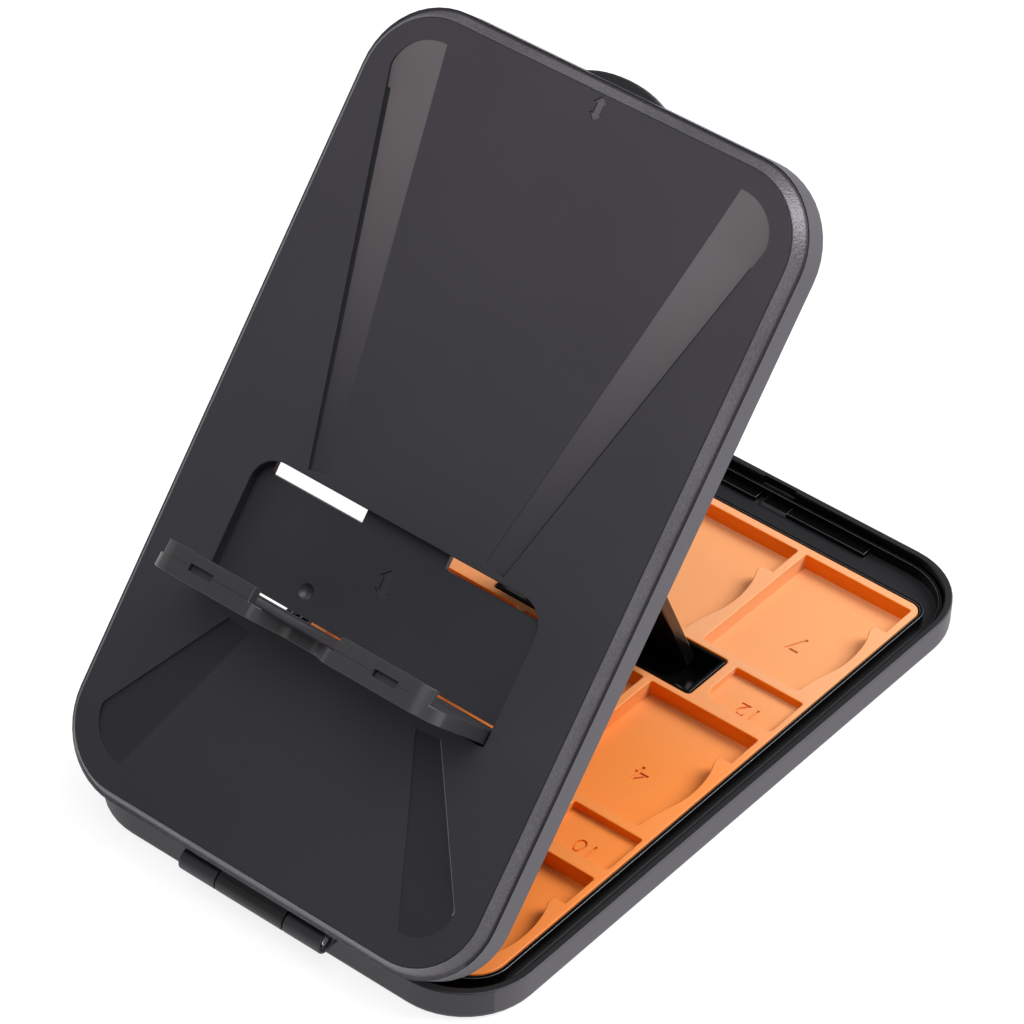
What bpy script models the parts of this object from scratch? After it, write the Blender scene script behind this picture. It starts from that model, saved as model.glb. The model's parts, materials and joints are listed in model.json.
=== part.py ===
"""Game card holder: a hinged case for nine game cards and four memory cards.

The lid stands open on a prop strut whose foot rests in a well in the card tray, and a ledge
flap swings out of a window in the lid, to carry whatever leans on it.
All sizes below are in millimetres. The model is in metres, with +Z up and its origin at the
centre of the base's underside. Y runs from the hinge, at -Y, to the latch side, at +Y.
Pieces on the lid are modelled with the case shut and folded, around their own pivots, and the
pivots are turned to the open pose.
"""

import math

import bmesh
import bpy
from mathutils import Vector

MM = 0.001

# Case
BODY_WIDTH = 92.0
BODY_LENGTH = 147.6
CORNER_RADIUS = 15.0
BASE_HEIGHT = 6.3
LID_HEIGHT = 7.8
WALL = 1.6
BASE_FLOOR = 1.2
LID_TOP = 1.2
GAP = 0.3
UNDERSIDE_FILLET = 1.5
RIM_ROUNDING = 0.3
LID_CHAMFER_WIDTH = 1.8
LID_CHAMFER_DROP = 2.35
LID_INNER_CHAMFER = 1.4

# Hinge
AXIS_ABOVE_RIM = 0.4
SHELL_SETBACK = 2.6
KNUCKLE_RADIUS = 2.2
KNUCKLE_BORE = 1.1
HINGE_PIN_RADIUS = 0.8
MIDDLE_KNUCKLE_WIDTH = 14.9
OUTER_KNUCKLE_WIDTH = 8.05
KNUCKLE_WEB_REACH = 1.9
LID_OPEN_ANGLE = 51.9

# Card tray, with its distances from the case's sides and ends
TRAY_FROM_SIDE = 5.3
TRAY_FROM_NEAR_END = 7.0
TRAY_FROM_FAR_END = 12.0
TRAY_NEAR_RADIUS = 7.0
TRAY_FAR_RADIUS = 2.5
TRAY_FLOOR = 0.7
TRAY_TOP = 5.5
TRAY_SIDE_WALL = 1.4
TRAY_NEAR_WALL = 1.8
TRAY_FAR_WALL = 1.9
CARD_ROWS = 3
CARD_SLOT_WIDTH = 21.5
CARD_SLOT_LENGTH = 31.4
COLUMN_WALL = 1.7
SCOOP_START = 3.0
SCOOP_LENGTH = 19.5
SCOOP_DEPTH = 2.6
HEAD_START = 23.5
HEAD_EXTRA = 2.5
MEMORY_SLOT_WIDTH = 15.0
MEMORY_SLOT_LENGTH = 9.8
MEMORY_SLOT_DEPTH = 1.7
MEMORY_SIDE_WALL = 1.1
MEMORY_SLOT_ABOVE_ROW = 3.2
MEMORY_CORNER_RADIUS = 3.0

# Well for the strut's foot, between the last two rows of cards
WELL_WIDTH = 44.8
WELL_LENGTH = 11.5
WELL_ABOVE_ROW = 1.75
WELL_WALL = 0.7

# Liner round the tray
LINER_WALL = 0.6
LINER_FLOOR = 0.8
LINER_STEP = 1.6
FRAME_WALL = 0.7
RIB_INNER = 5.0
RIB_OUTER = 22.5
RIB_WIDTH = 1.1
RIB_HEIGHT = 0.7
CATCH_WIDTH = 6.0
CATCH_LENGTH = 1.7
CATCH_HEIGHT = 1.4

# Latch and thumb tab
LATCH_WIDTH = 6.8
LATCH_THICKNESS = 0.9
LATCH_DROP = 1.6
LATCH_POCKET_DEPTH = 0.6
THUMB_TAB_HALF_WIDTH = 8.7
THUMB_TAB_REACH = 1.8
THUMB_TAB_HEIGHT = 1.6
THUMB_TAB_LEVEL = 0.4

# Window and recess in the lid
WINDOW_HALF_WIDTH = 31.0
WINDOW_NEAR = 43.65
WINDOW_FAR = 68.8
WINDOW_NEAR_RADIUS = 0.5
WINDOW_FAR_RADIUS = 5.1
RECESS_DEPTH = 2.8
PANEL_THICKNESS = 1.2
COLLAR_WALL = 1.9
PANEL_RIM_INSET = 3.3
PANEL_RIM_WIDTH = 1.0
FLUTE_DEPTH = 0.4
FLUTE_CORNER = 6.0

# Flute corners, two at each end: a narrow one from the middle line and the window's edge,
# a wide one from the case's side and end
UPPER_FLUTE_NARROW = ((17.1, 2.1), (21.4, 1.1))
UPPER_FLUTE_WIDE = ((15.2, 6.3), (6.6, 8.3))
LOWER_FLUTE_NARROW = ((23.6, 2.35), (18.3, 2.85))
LOWER_FLUTE_WIDE = ((6.4, 9.2), (15.7, 7.0))

# Ledge flap
FLAP_THICKNESS = 2.5
FLAP_BARREL_RADIUS = 2.2
FLAP_PIVOT_FROM_WINDOW = 2.4
FLAP_SIDE_CLEARANCE = 0.4
FLAP_OPEN_ANGLE = 83.2
FLAP_DIP_DEPTH = 5.0
FLAP_DIP_HALF_TOP = 8.0
FLAP_DIP_HALF_BOTTOM = 3.5
HOOK_INNER = 9.3
HOOK_OUTER = 28.7
HOOK_HEIGHT = 5.2
HOOK_THICKNESS = 2.2
HOOK_SLOT_INNER = 17.4
HOOK_SLOT_OUTER = 22.4
HOOK_SLOT_HEIGHT = 1.3
HOOK_SLOT_LEVEL = 2.1
HOOK_SLOT_DEPTH = 1.0
FLAP_TRUNNION_RADIUS = 0.7
FLAP_TRUNNION_LENGTH = 2.3

# Prop strut
STRUT_WIDTH = 33.0
STRUT_THICKNESS = 2.3
STRUT_PIVOT_Y = 99.2
STRUT_PIVOT_Z = 0.9
STRUT_TRUNNION_RADIUS = 0.9
STRUT_TRUNNION_LENGTH = 2.5
STRUT_LUG_WIDTH = 2.5
STRUT_LUG_WALL = 0.5
STRUT_CORNER_RADIUS = 3.0

CORNER_STEPS = 8
ROUND_STEPS = 24
FILLET_STEPS = 3
SHARP_EDGE_ANGLE = 35.0
QUARTER_TURN = 90.0
SINK = 0.4
EDGE = 0.1

# Levels and places that follow from the sizes above
AXIS_Y = -(BODY_LENGTH / 2 + SHELL_SETBACK)
AXIS_Z = BASE_HEIGHT + AXIS_ABOVE_RIM
BODY_NEAR = SHELL_SETBACK
BODY_FAR = SHELL_SETBACK + BODY_LENGTH
TRAY_HALF_WIDTH = BODY_WIDTH / 2 - TRAY_FROM_SIDE
TRAY_NEAR = BODY_NEAR + TRAY_FROM_NEAR_END
TRAY_FAR = BODY_FAR - TRAY_FROM_FAR_END
FIRST_CARD_ROW = TRAY_NEAR + TRAY_NEAR_WALL
CARD_ROW_PITCH = (TRAY_FAR - TRAY_FAR_WALL - CARD_SLOT_LENGTH - FIRST_CARD_ROW) / (CARD_ROWS - 1)
SIDE_COLUMN_X = TRAY_HALF_WIDTH - TRAY_SIDE_WALL - HEAD_EXTRA - CARD_SLOT_WIDTH
CENTRE_COLUMN_HALF_WIDTH = SIDE_COLUMN_X - COLUMN_WALL - HEAD_EXTRA
MEMORY_SLOT_X = TRAY_HALF_WIDTH - MEMORY_SIDE_WALL - MEMORY_SLOT_WIDTH
WELL_NEAR = FIRST_CARD_ROW + CARD_ROW_PITCH * (CARD_ROWS - 2) + CARD_SLOT_LENGTH + WELL_ABOVE_ROW
LID_RIM = GAP - AXIS_ABOVE_RIM
LID_FACE = LID_RIM + LID_HEIGHT
LID_CEILING = LID_FACE - LID_TOP
PANEL_FACE = LID_FACE - RECESS_DEPTH
PANEL_UNDERSIDE = PANEL_FACE - PANEL_THICKNESS
FLAP_PIVOT_Y = WINDOW_NEAR + FLAP_PIVOT_FROM_WINDOW
FLAP_PIVOT_Z = LID_FACE - FLAP_BARREL_RADIUS
FLAP_HALF_WIDTH = WINDOW_HALF_WIDTH - FLAP_SIDE_CLEARANCE
FLAP_LENGTH = WINDOW_FAR - FLAP_SIDE_CLEARANCE - FLAP_PIVOT_Y
FLAP_INNER_FACE = FLAP_BARREL_RADIUS - FLAP_THICKNESS


def smooth(mesh):
    """Shade round walls smooth and keep real edges sharp."""
    mesh.shade_smooth()
    mesh.set_sharp_from_angle(angle=math.radians(SHARP_EDGE_ANGLE))


def finish_mesh(bm, name, parent=None, material=None):
    """Turn a bmesh in millimetres into an object in metres."""
    bmesh.ops.scale(bm, vec=Vector((MM, MM, MM)), verts=bm.verts)
    bmesh.ops.recalc_face_normals(bm, faces=bm.faces)
    if bm.calc_volume(signed=True) < 0.0:
        bmesh.ops.reverse_faces(bm, faces=bm.faces)
    mesh = bpy.data.meshes.new(name)
    bm.to_mesh(mesh)
    bm.free()
    smooth(mesh)
    obj = bpy.data.objects.new(name, mesh)
    bpy.context.scene.collection.objects.link(obj)
    obj.parent = parent
    if material is not None:
        mesh.materials.append(material)
    return obj


def pivot(name, y, z, angle, parent=None):
    """An empty on a joint's axis, which runs along X."""
    empty = bpy.data.objects.new(name, None)
    bpy.context.scene.collection.objects.link(empty)
    empty.parent = parent
    empty.location = (0.0, y * MM, z * MM)
    empty.rotation_euler = (math.radians(angle), 0.0, 0.0)
    return empty


def finish_of(name, colour, roughness):
    """A moulded plastic or metal colour."""
    material = bpy.data.materials.new(name)
    material.use_nodes = True
    shader = material.node_tree.nodes["Principled BSDF"]
    shader.inputs["Base Color"].default_value = (*colour, 1.0)
    shader.inputs["Roughness"].default_value = roughness
    return material


def arc(centre_x, centre_y, radius, start, end, steps):
    """Points on an arc, in degrees from +X, both ends included."""
    angles = [math.radians(start + (end - start) * i / steps) for i in range(steps + 1)]
    return [(centre_x + radius * math.cos(a), centre_y + radius * math.sin(a)) for a in angles]


def rounded_rectangle(half_width, near, far, near_radius, far_radius):
    """A closed outline, anticlockwise from the corner at +X and -Y."""
    corners = (
        (half_width - near_radius, near + near_radius, near_radius),
        (half_width - far_radius, far - far_radius, far_radius),
        (-half_width + far_radius, far - far_radius, far_radius),
        (-half_width + near_radius, near + near_radius, near_radius),
    )
    points = []
    for turn, (x, y, radius) in enumerate(corners):
        start = (turn - 1) * QUARTER_TURN
        points += arc(x, y, radius, start, start + QUARTER_TURN, CORNER_STEPS)
    return points


def body_outline(inset):
    """The case's outline, moved inwards."""
    radius = CORNER_RADIUS - inset
    return rounded_rectangle(BODY_WIDTH / 2 - inset, BODY_NEAR + inset, BODY_FAR - inset, radius, radius)


def window_outline(grow):
    """The window's outline, moved outwards."""
    return rounded_rectangle(
        WINDOW_HALF_WIDTH + grow, WINDOW_NEAR - grow, WINDOW_FAR + grow,
        WINDOW_NEAR_RADIUS + grow, WINDOW_FAR_RADIUS + grow)


def tray_outline(grow):
    """The tray's outline, moved outwards."""
    return rounded_rectangle(
        TRAY_HALF_WIDTH + grow, TRAY_NEAR - grow, TRAY_FAR + grow,
        TRAY_NEAR_RADIUS + grow, TRAY_FAR_RADIUS + grow)


def loft(name, rings, parent=None, material=None, closed=False):
    """Join a stack of (outline, z) rings, with end faces, or round into a closed frame."""
    bm = bmesh.new()
    loops = [[bm.verts.new((x, y, z)) for x, y in outline] for outline, z in rings]
    pairs = list(zip(loops, loops[1:]))
    if closed:
        pairs.append((loops[-1], loops[0]))
    for low, high in pairs:
        for i in range(len(low)):
            bm.faces.new((low[i - 1], low[i], high[i], high[i - 1]))
    if not closed:
        bm.faces.new(loops[0])
        bm.faces.new(loops[-1])
    return finish_mesh(bm, name, parent, material)


def add_prism(bm, outline, low, high, axis="Z"):
    """Extrude an outline along Z, or along X from an outline given as (y, z)."""
    if axis == "Z":
        points = [(a, b, low) for a, b in outline]
        travel = Vector((0.0, 0.0, high - low))
    else:
        points = [(low, a, b) for a, b in outline]
        travel = Vector((high - low, 0.0, 0.0))
    face = bm.faces.new([bm.verts.new(p) for p in points])
    extruded = bmesh.ops.extrude_face_region(bm, geom=[face], use_keep_orig=True)
    moved = [item for item in extruded["geom"] if isinstance(item, bmesh.types.BMVert)]
    bmesh.ops.translate(bm, vec=travel, verts=moved)


def well_outline(grow):
    """The outline of the well for the strut's foot, moved outwards."""
    half = WELL_WIDTH / 2 + grow
    return box_outline(-half, half, WELL_NEAR - grow, WELL_NEAR + WELL_LENGTH + grow)


def corner_clip(half_width, end, radius):
    """What a rounded corner at +X and +Y takes off a plate."""
    edge = arc(half_width - radius, end - radius, radius, 0.0, 90.0, CORNER_STEPS)
    beyond = [(half_width - radius, end + SINK), (half_width + SINK, end + SINK)]
    return edge + beyond + [(half_width + SINK, end - radius)]


def box_outline(x_low, x_high, y_low, y_high):
    """A plain rectangle."""
    return [(x_low, y_low), (x_high, y_low), (x_high, y_high), (x_low, y_high)]


def mirrored(outline):
    """The same outline on the -X side."""
    return [(-x, y) for x, y in reversed(outline)]


def prisms(name, pieces, parent=None, material=None):
    """One object of separate extrusions, each (outline, low, high) or (outline, low, high, axis)."""
    bm = bmesh.new()
    for piece in pieces:
        add_prism(bm, *piece)
    return finish_mesh(bm, name, parent, material)


def combine(target, operation, tool):
    """Cut a hidden shape out of a piece, or add it, and keep the piece one closed body."""
    tool.hide_render = True
    tool.hide_set(True)
    tool.display_type = "WIRE"
    modifier = target.modifiers.new(tool.name, "BOOLEAN")
    modifier.operation = operation
    modifier.solver = "EXACT"
    modifier.object = tool


def disc(y, z, radius):
    """A circle in the YZ plane."""
    return arc(y, z, radius, 0.0, 360.0 * (ROUND_STEPS - 1) / ROUND_STEPS, ROUND_STEPS - 1)


# Base


def knuckle_outline(axis_z, web_low, web_high):
    """A hinge barrel and the web to its shell's end wall, as a (y, z) outline."""
    low = math.degrees(math.asin((web_low - axis_z) / KNUCKLE_RADIUS))
    high = math.degrees(math.asin((web_high - axis_z) / KNUCKLE_RADIUS))
    wall = SHELL_SETBACK + SINK
    barrel = arc(0.0, axis_z, KNUCKLE_RADIUS, high, 360.0 + low, ROUND_STEPS)
    return barrel + [(wall, web_low), (wall, web_high)]


def base_place(obj):
    """Base pieces are modelled from the hinge line, so they move by its distance."""
    obj.location = (0.0, AXIS_Y * MM, 0.0)
    return obj


def make_base_shell(material):
    """The outer tray-shaped shell, with the well's walls and the two outer hinge knuckles."""
    fillet = UNDERSIDE_FILLET
    section = []
    for step in range(FILLET_STEPS + 1):
        angle = math.radians(QUARTER_TURN * step / FILLET_STEPS)
        section.append((fillet * (1 - math.sin(angle)), fillet * (1 - math.cos(angle))))
    section += [
        (0.0, BASE_HEIGHT - RIM_ROUNDING),
        (RIM_ROUNDING, BASE_HEIGHT),
        (WALL - RIM_ROUNDING, BASE_HEIGHT),
        (WALL, BASE_HEIGHT - RIM_ROUNDING),
        (WALL, BASE_FLOOR),
    ]
    shell = base_place(loft("base_shell", [(body_outline(i), z) for i, z in section], None, material))

    inner = MIDDLE_KNUCKLE_WIDTH / 2 + GAP
    outer = inner + OUTER_KNUCKLE_WIDTH
    outline = knuckle_outline(AXIS_Z, AXIS_Z - KNUCKLE_WEB_REACH, BASE_HEIGHT - GAP - EDGE)
    knuckles = [(outline, inner, outer, "X"), (outline, -outer, -inner, "X")]
    combine(shell, "UNION", base_place(prisms("outer_knuckles", knuckles)))
    bore = [(disc(0.0, AXIS_Z, KNUCKLE_BORE), -outer - SINK, outer + SINK, "X")]
    combine(shell, "DIFFERENCE", base_place(prisms("hinge_bore", bore)))

    low = BASE_FLOOR - SINK
    rings = [(well_outline(0.0), low), (well_outline(0.0), TRAY_TOP)]
    rings += [(well_outline(-WELL_WALL), TRAY_TOP), (well_outline(-WELL_WALL), low)]
    combine(shell, "UNION", base_place(loft("well_wall", rings, closed=True)))

    wall_face = BODY_FAR - WALL
    half_latch = LATCH_WIDTH / 2 + GAP
    outline = box_outline(-half_latch, half_latch, wall_face - SINK, wall_face + LATCH_POCKET_DEPTH)
    pocket = [(outline, BASE_HEIGHT - LINER_STEP, BASE_HEIGHT + SINK)]
    combine(shell, "DIFFERENCE", base_place(prisms("latch_pocket", pocket)))
    return shell


def make_inner_frame(material):
    """The black liner: a trough round the case, whose inner wall holds the tray in place."""
    seat = BASE_FLOOR + GAP
    trough = seat + LINER_FLOOR
    outer = WALL + GAP
    rings = [
        (body_outline(outer), seat),
        (body_outline(outer), BASE_HEIGHT - LINER_STEP),
        (body_outline(outer + LINER_WALL), BASE_HEIGHT - LINER_STEP),
        (body_outline(outer + LINER_WALL), trough),
        (tray_outline(GAP + FRAME_WALL), trough),
        (tray_outline(GAP + FRAME_WALL), TRAY_TOP),
        (tray_outline(GAP), TRAY_TOP),
        (tray_outline(GAP), seat),
    ]
    frame = base_place(loft("base_inner_frame", rings, None, material, closed=True))
    wall_face = BODY_FAR - outer - LINER_WALL
    low = trough - SINK
    rib = box_outline(RIB_INNER, RIB_OUTER, wall_face - RIB_WIDTH, wall_face + SINK)
    catch = box_outline(-CATCH_WIDTH / 2, CATCH_WIDTH / 2, wall_face - CATCH_LENGTH, wall_face + SINK)
    ribs = [
        (rib, low, trough + RIB_HEIGHT),
        (mirrored(rib), low, trough + RIB_HEIGHT),
        (catch, low, trough + CATCH_HEIGHT),
    ]
    combine(frame, "UNION", base_place(prisms("trough_ribs", ribs)))
    return frame


def scooped_edge(narrow, row):
    """The edge of a card slot at +X: a straight foot, a finger scoop and a wider head."""
    start = row + SCOOP_START
    half_chord = SCOOP_LENGTH / 2
    radius = (half_chord ** 2 + SCOOP_DEPTH ** 2) / (2 * SCOOP_DEPTH)
    spread = math.degrees(math.asin(half_chord / radius))
    centre_x = narrow + SCOOP_DEPTH - radius
    scoop = arc(centre_x, start + half_chord, radius, -spread, spread, CORNER_STEPS)
    head = narrow + HEAD_EXTRA
    return [(narrow, row)] + scoop + [
        (narrow, row + HEAD_START),
        (head, row + HEAD_START),
        (head, row + CARD_SLOT_LENGTH),
    ]


def memory_slot(row_top):
    """A small slot between two card rows, with one rounded corner."""
    near = row_top + MEMORY_SLOT_ABOVE_ROW
    far = near + MEMORY_SLOT_LENGTH
    outer = MEMORY_SLOT_X + MEMORY_SLOT_WIDTH
    radius = MEMORY_CORNER_RADIUS
    corner = arc(MEMORY_SLOT_X + radius, near + radius, radius, 180.0, 270.0, CORNER_STEPS // 2)
    return corner + [(outer, near), (outer, far), (MEMORY_SLOT_X, far)]


def make_card_tray(material):
    """The orange insert: three rows of card slots, four memory card slots and the well's hole."""
    seat = BASE_FLOOR + GAP
    tray = base_place(prisms("card_tray", [(tray_outline(0.0), seat, TRAY_TOP)], None, material))
    slots = []
    small_slots = []
    above = TRAY_TOP + SINK
    for number in range(CARD_ROWS):
        row = FIRST_CARD_ROW + number * CARD_ROW_PITCH
        top = row + CARD_SLOT_LENGTH
        side = [(SIDE_COLUMN_X, row)] + scooped_edge(SIDE_COLUMN_X + CARD_SLOT_WIDTH, row)
        side.append((SIDE_COLUMN_X, top))
        right = scooped_edge(CENTRE_COLUMN_HALF_WIDTH, row)
        centre = right + mirrored(right)
        for outline in (side, mirrored(side), centre):
            slots.append((outline, seat + TRAY_FLOOR, above))
        if number < CARD_ROWS - 1:
            memory = memory_slot(top)
            for outline in (memory, mirrored(memory)):
                small_slots.append((outline, TRAY_TOP - MEMORY_SLOT_DEPTH, above))
    combine(tray, "DIFFERENCE", base_place(prisms("card_slots", slots)))
    combine(tray, "DIFFERENCE", base_place(prisms("memory_slots", small_slots)))
    hole = [(well_outline(GAP), seat - SINK, above)]
    combine(tray, "DIFFERENCE", base_place(prisms("well_hole", hole)))
    return tray


def make_hinge_pin(material):
    """The steel pin through the three knuckles."""
    half = MIDDLE_KNUCKLE_WIDTH / 2 + GAP + OUTER_KNUCKLE_WIDTH - GAP
    pin = prisms("hinge_pin", [(disc(0.0, AXIS_Z, HINGE_PIN_RADIUS), -half, half, "X")], None, material)
    return base_place(pin)


# Lid


def flute_outline(narrow, wide, window_edge, case_end):
    """A sunken wedge from the window's edge to a case end, with one rounded outer corner."""
    away = math.copysign(1.0, case_end - window_edge)
    low_ends = [Vector((x, window_edge + away * gap)) for x, gap in narrow]
    high_ends = [Vector((BODY_WIDTH / 2 - x, case_end - away * gap)) for x, gap in wide]
    inner_low, outer_low = sorted(low_ends, key=lambda point: point.x)
    inner_high, outer_high = sorted(high_ends, key=lambda point: point.x)
    side = (outer_low - outer_high).normalized()
    end = (inner_high - outer_high).normalized()
    leave = outer_high + side * FLUTE_CORNER
    arrive = outer_high + end * FLUTE_CORNER
    corner = []
    for step in range(CORNER_STEPS + 1):
        t = step / CORNER_STEPS
        corner.append(leave * (1 - t) ** 2 + outer_high * 2 * t * (1 - t) + arrive * t ** 2)
    return [tuple(p) for p in [inner_low, outer_low] + corner + [inner_high]]


def make_lid_shell(lid_pivot, material):
    """The outer lid with its window, flutes, thumb tab, latch tongue and middle knuckle."""
    section = [
        (WALL + LID_INNER_CHAMFER, LID_CEILING),
        (WALL, LID_CEILING - LID_INNER_CHAMFER),
        (WALL, LID_RIM + RIM_ROUNDING),
        (WALL - RIM_ROUNDING, LID_RIM),
        (RIM_ROUNDING, LID_RIM),
        (0.0, LID_RIM + RIM_ROUNDING),
        (0.0, LID_FACE - LID_CHAMFER_DROP),
        (LID_CHAMFER_WIDTH, LID_FACE),
    ]
    shell = loft("lid_shell", [(body_outline(i), z) for i, z in section], lid_pivot, material)

    reach = THUMB_TAB_REACH
    radius = (THUMB_TAB_HALF_WIDTH ** 2 + reach ** 2) / (2 * reach)
    spread = math.degrees(math.asin(THUMB_TAB_HALF_WIDTH / radius))
    lens = arc(0.0, BODY_FAR + reach - radius, radius, 90.0 - spread, 90.0 + spread, CORNER_STEPS)
    root = BODY_FAR - WALL / 2
    lens += [(-THUMB_TAB_HALF_WIDTH, root), (THUMB_TAB_HALF_WIDTH, root)]
    tab = [(lens, LID_RIM + THUMB_TAB_LEVEL, LID_RIM + THUMB_TAB_LEVEL + THUMB_TAB_HEIGHT)]
    combine(shell, "UNION", prisms("thumb_tab", tab, lid_pivot))

    half = LATCH_WIDTH / 2
    wall_face = BODY_FAR - WALL
    root_low = LID_RIM + 2 * RIM_ROUNDING
    root_high = root_low + 2 * LATCH_THICKNESS
    tongue = [
        (wall_face - LATCH_THICKNESS, LID_RIM - LATCH_DROP),
        (wall_face - GAP, LID_RIM - LATCH_DROP),
        (wall_face - GAP, root_low),
        (wall_face + SINK, root_low),
        (wall_face + SINK, root_high),
        (wall_face - LATCH_THICKNESS, root_high),
    ]
    combine(shell, "UNION", prisms("latch_tongue", [(tongue, -half, half, "X")], lid_pivot))

    knuckle = MIDDLE_KNUCKLE_WIDTH / 2
    outline = knuckle_outline(0.0, LID_RIM + EDGE, KNUCKLE_WEB_REACH)
    combine(shell, "UNION", prisms("middle_knuckle", [(outline, -knuckle, knuckle, "X")], lid_pivot))
    bore = [(disc(0.0, 0.0, KNUCKLE_BORE), -knuckle - SINK, knuckle + SINK, "X")]
    combine(shell, "DIFFERENCE", prisms("middle_knuckle_bore", bore, lid_pivot))

    window = [(window_outline(0.0), LID_CEILING - SINK, LID_FACE + SINK)]
    combine(shell, "DIFFERENCE", prisms("window", window, lid_pivot))
    flutes = []
    for outline in (
            flute_outline(UPPER_FLUTE_NARROW, UPPER_FLUTE_WIDE, WINDOW_FAR, BODY_FAR),
            flute_outline(LOWER_FLUTE_NARROW, LOWER_FLUTE_WIDE, WINDOW_NEAR, BODY_NEAR)):
        for side in (outline, mirrored(outline)):
            flutes.append((side, LID_FACE - FLUTE_DEPTH, LID_FACE + SINK))
    combine(shell, "DIFFERENCE", prisms("flutes", flutes, lid_pivot))
    return shell


def make_lid_inner_panel(lid_pivot, material):
    """The panel under the lid: recess floor, cradle for the flap and lugs for the strut."""
    edge = WALL + GAP
    top = LID_CEILING - GAP
    outline = body_outline(edge)
    panel = prisms("lid_inner_panel", [(outline, PANEL_UNDERSIDE, PANEL_FACE)], lid_pivot, material)
    low = PANEL_FACE - SINK
    rims = [
        (body_outline(PANEL_RIM_INSET), low),
        (body_outline(PANEL_RIM_INSET), top),
        (body_outline(PANEL_RIM_INSET + PANEL_RIM_WIDTH), top),
        (body_outline(PANEL_RIM_INSET + PANEL_RIM_WIDTH), low),
    ]
    combine(panel, "UNION", loft("panel_rim", rims, lid_pivot, closed=True))
    collar = [
        (window_outline(GAP), low),
        (window_outline(GAP), top),
        (window_outline(GAP + COLLAR_WALL), top),
        (window_outline(GAP + COLLAR_WALL), low),
    ]
    combine(panel, "UNION", loft("window_collar", collar, lid_pivot, closed=True))

    lugs = []
    lug_inner = STRUT_WIDTH / 2 + GAP
    lug_radius = STRUT_TRUNNION_RADIUS + GAP + STRUT_LUG_WALL
    round_end = arc(STRUT_PIVOT_Y, STRUT_PIVOT_Z, lug_radius, 180.0, 360.0, CORNER_STEPS)
    lug = round_end + [
        (STRUT_PIVOT_Y + lug_radius, PANEL_UNDERSIDE + SINK),
        (STRUT_PIVOT_Y - lug_radius, PANEL_UNDERSIDE + SINK),
    ]
    for low_x in (lug_inner, -lug_inner - STRUT_LUG_WIDTH):
        lugs.append((lug, low_x, low_x + STRUT_LUG_WIDTH, "X"))
    combine(panel, "UNION", prisms("strut_lugs", lugs, lid_pivot))
    lug_outer = lug_inner + STRUT_LUG_WIDTH + SINK
    bore = [(disc(STRUT_PIVOT_Y, STRUT_PIVOT_Z, STRUT_TRUNNION_RADIUS + GAP), -lug_outer, lug_outer, "X")]
    combine(panel, "DIFFERENCE", prisms("strut_bore", bore, lid_pivot))

    cradle_half = FLAP_TRUNNION_RADIUS + GAP
    cradle_reach = FLAP_HALF_WIDTH + FLAP_TRUNNION_LENGTH + GAP
    cradle = arc(FLAP_PIVOT_Y, FLAP_PIVOT_Z, cradle_half, 180.0, 360.0, CORNER_STEPS)
    cradle += [(FLAP_PIVOT_Y + cradle_half, top + SINK), (FLAP_PIVOT_Y - cradle_half, top + SINK)]
    groove = [(cradle, -cradle_reach, cradle_reach, "X")]
    combine(panel, "DIFFERENCE", prisms("flap_cradle", groove, lid_pivot))

    slot_far = FLAP_PIVOT_Y - FLAP_INNER_FACE + GAP
    slot_half = FLAP_HALF_WIDTH + FLAP_SIDE_CLEARANCE
    hook_near = FLAP_PIVOT_Y + FLAP_LENGTH - HOOK_THICKNESS - GAP
    notch = box_outline(HOOK_INNER - GAP, HOOK_OUTER + GAP, hook_near, WINDOW_FAR)
    under, over = PANEL_UNDERSIDE - SINK, PANEL_FACE + GAP
    openings = [
        (box_outline(-slot_half, slot_half, WINDOW_NEAR - GAP / 2, slot_far), under, over),
        (notch, under, over),
        (mirrored(notch), under, over),
    ]
    combine(panel, "DIFFERENCE", prisms("panel_openings", openings, lid_pivot))
    return panel


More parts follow.
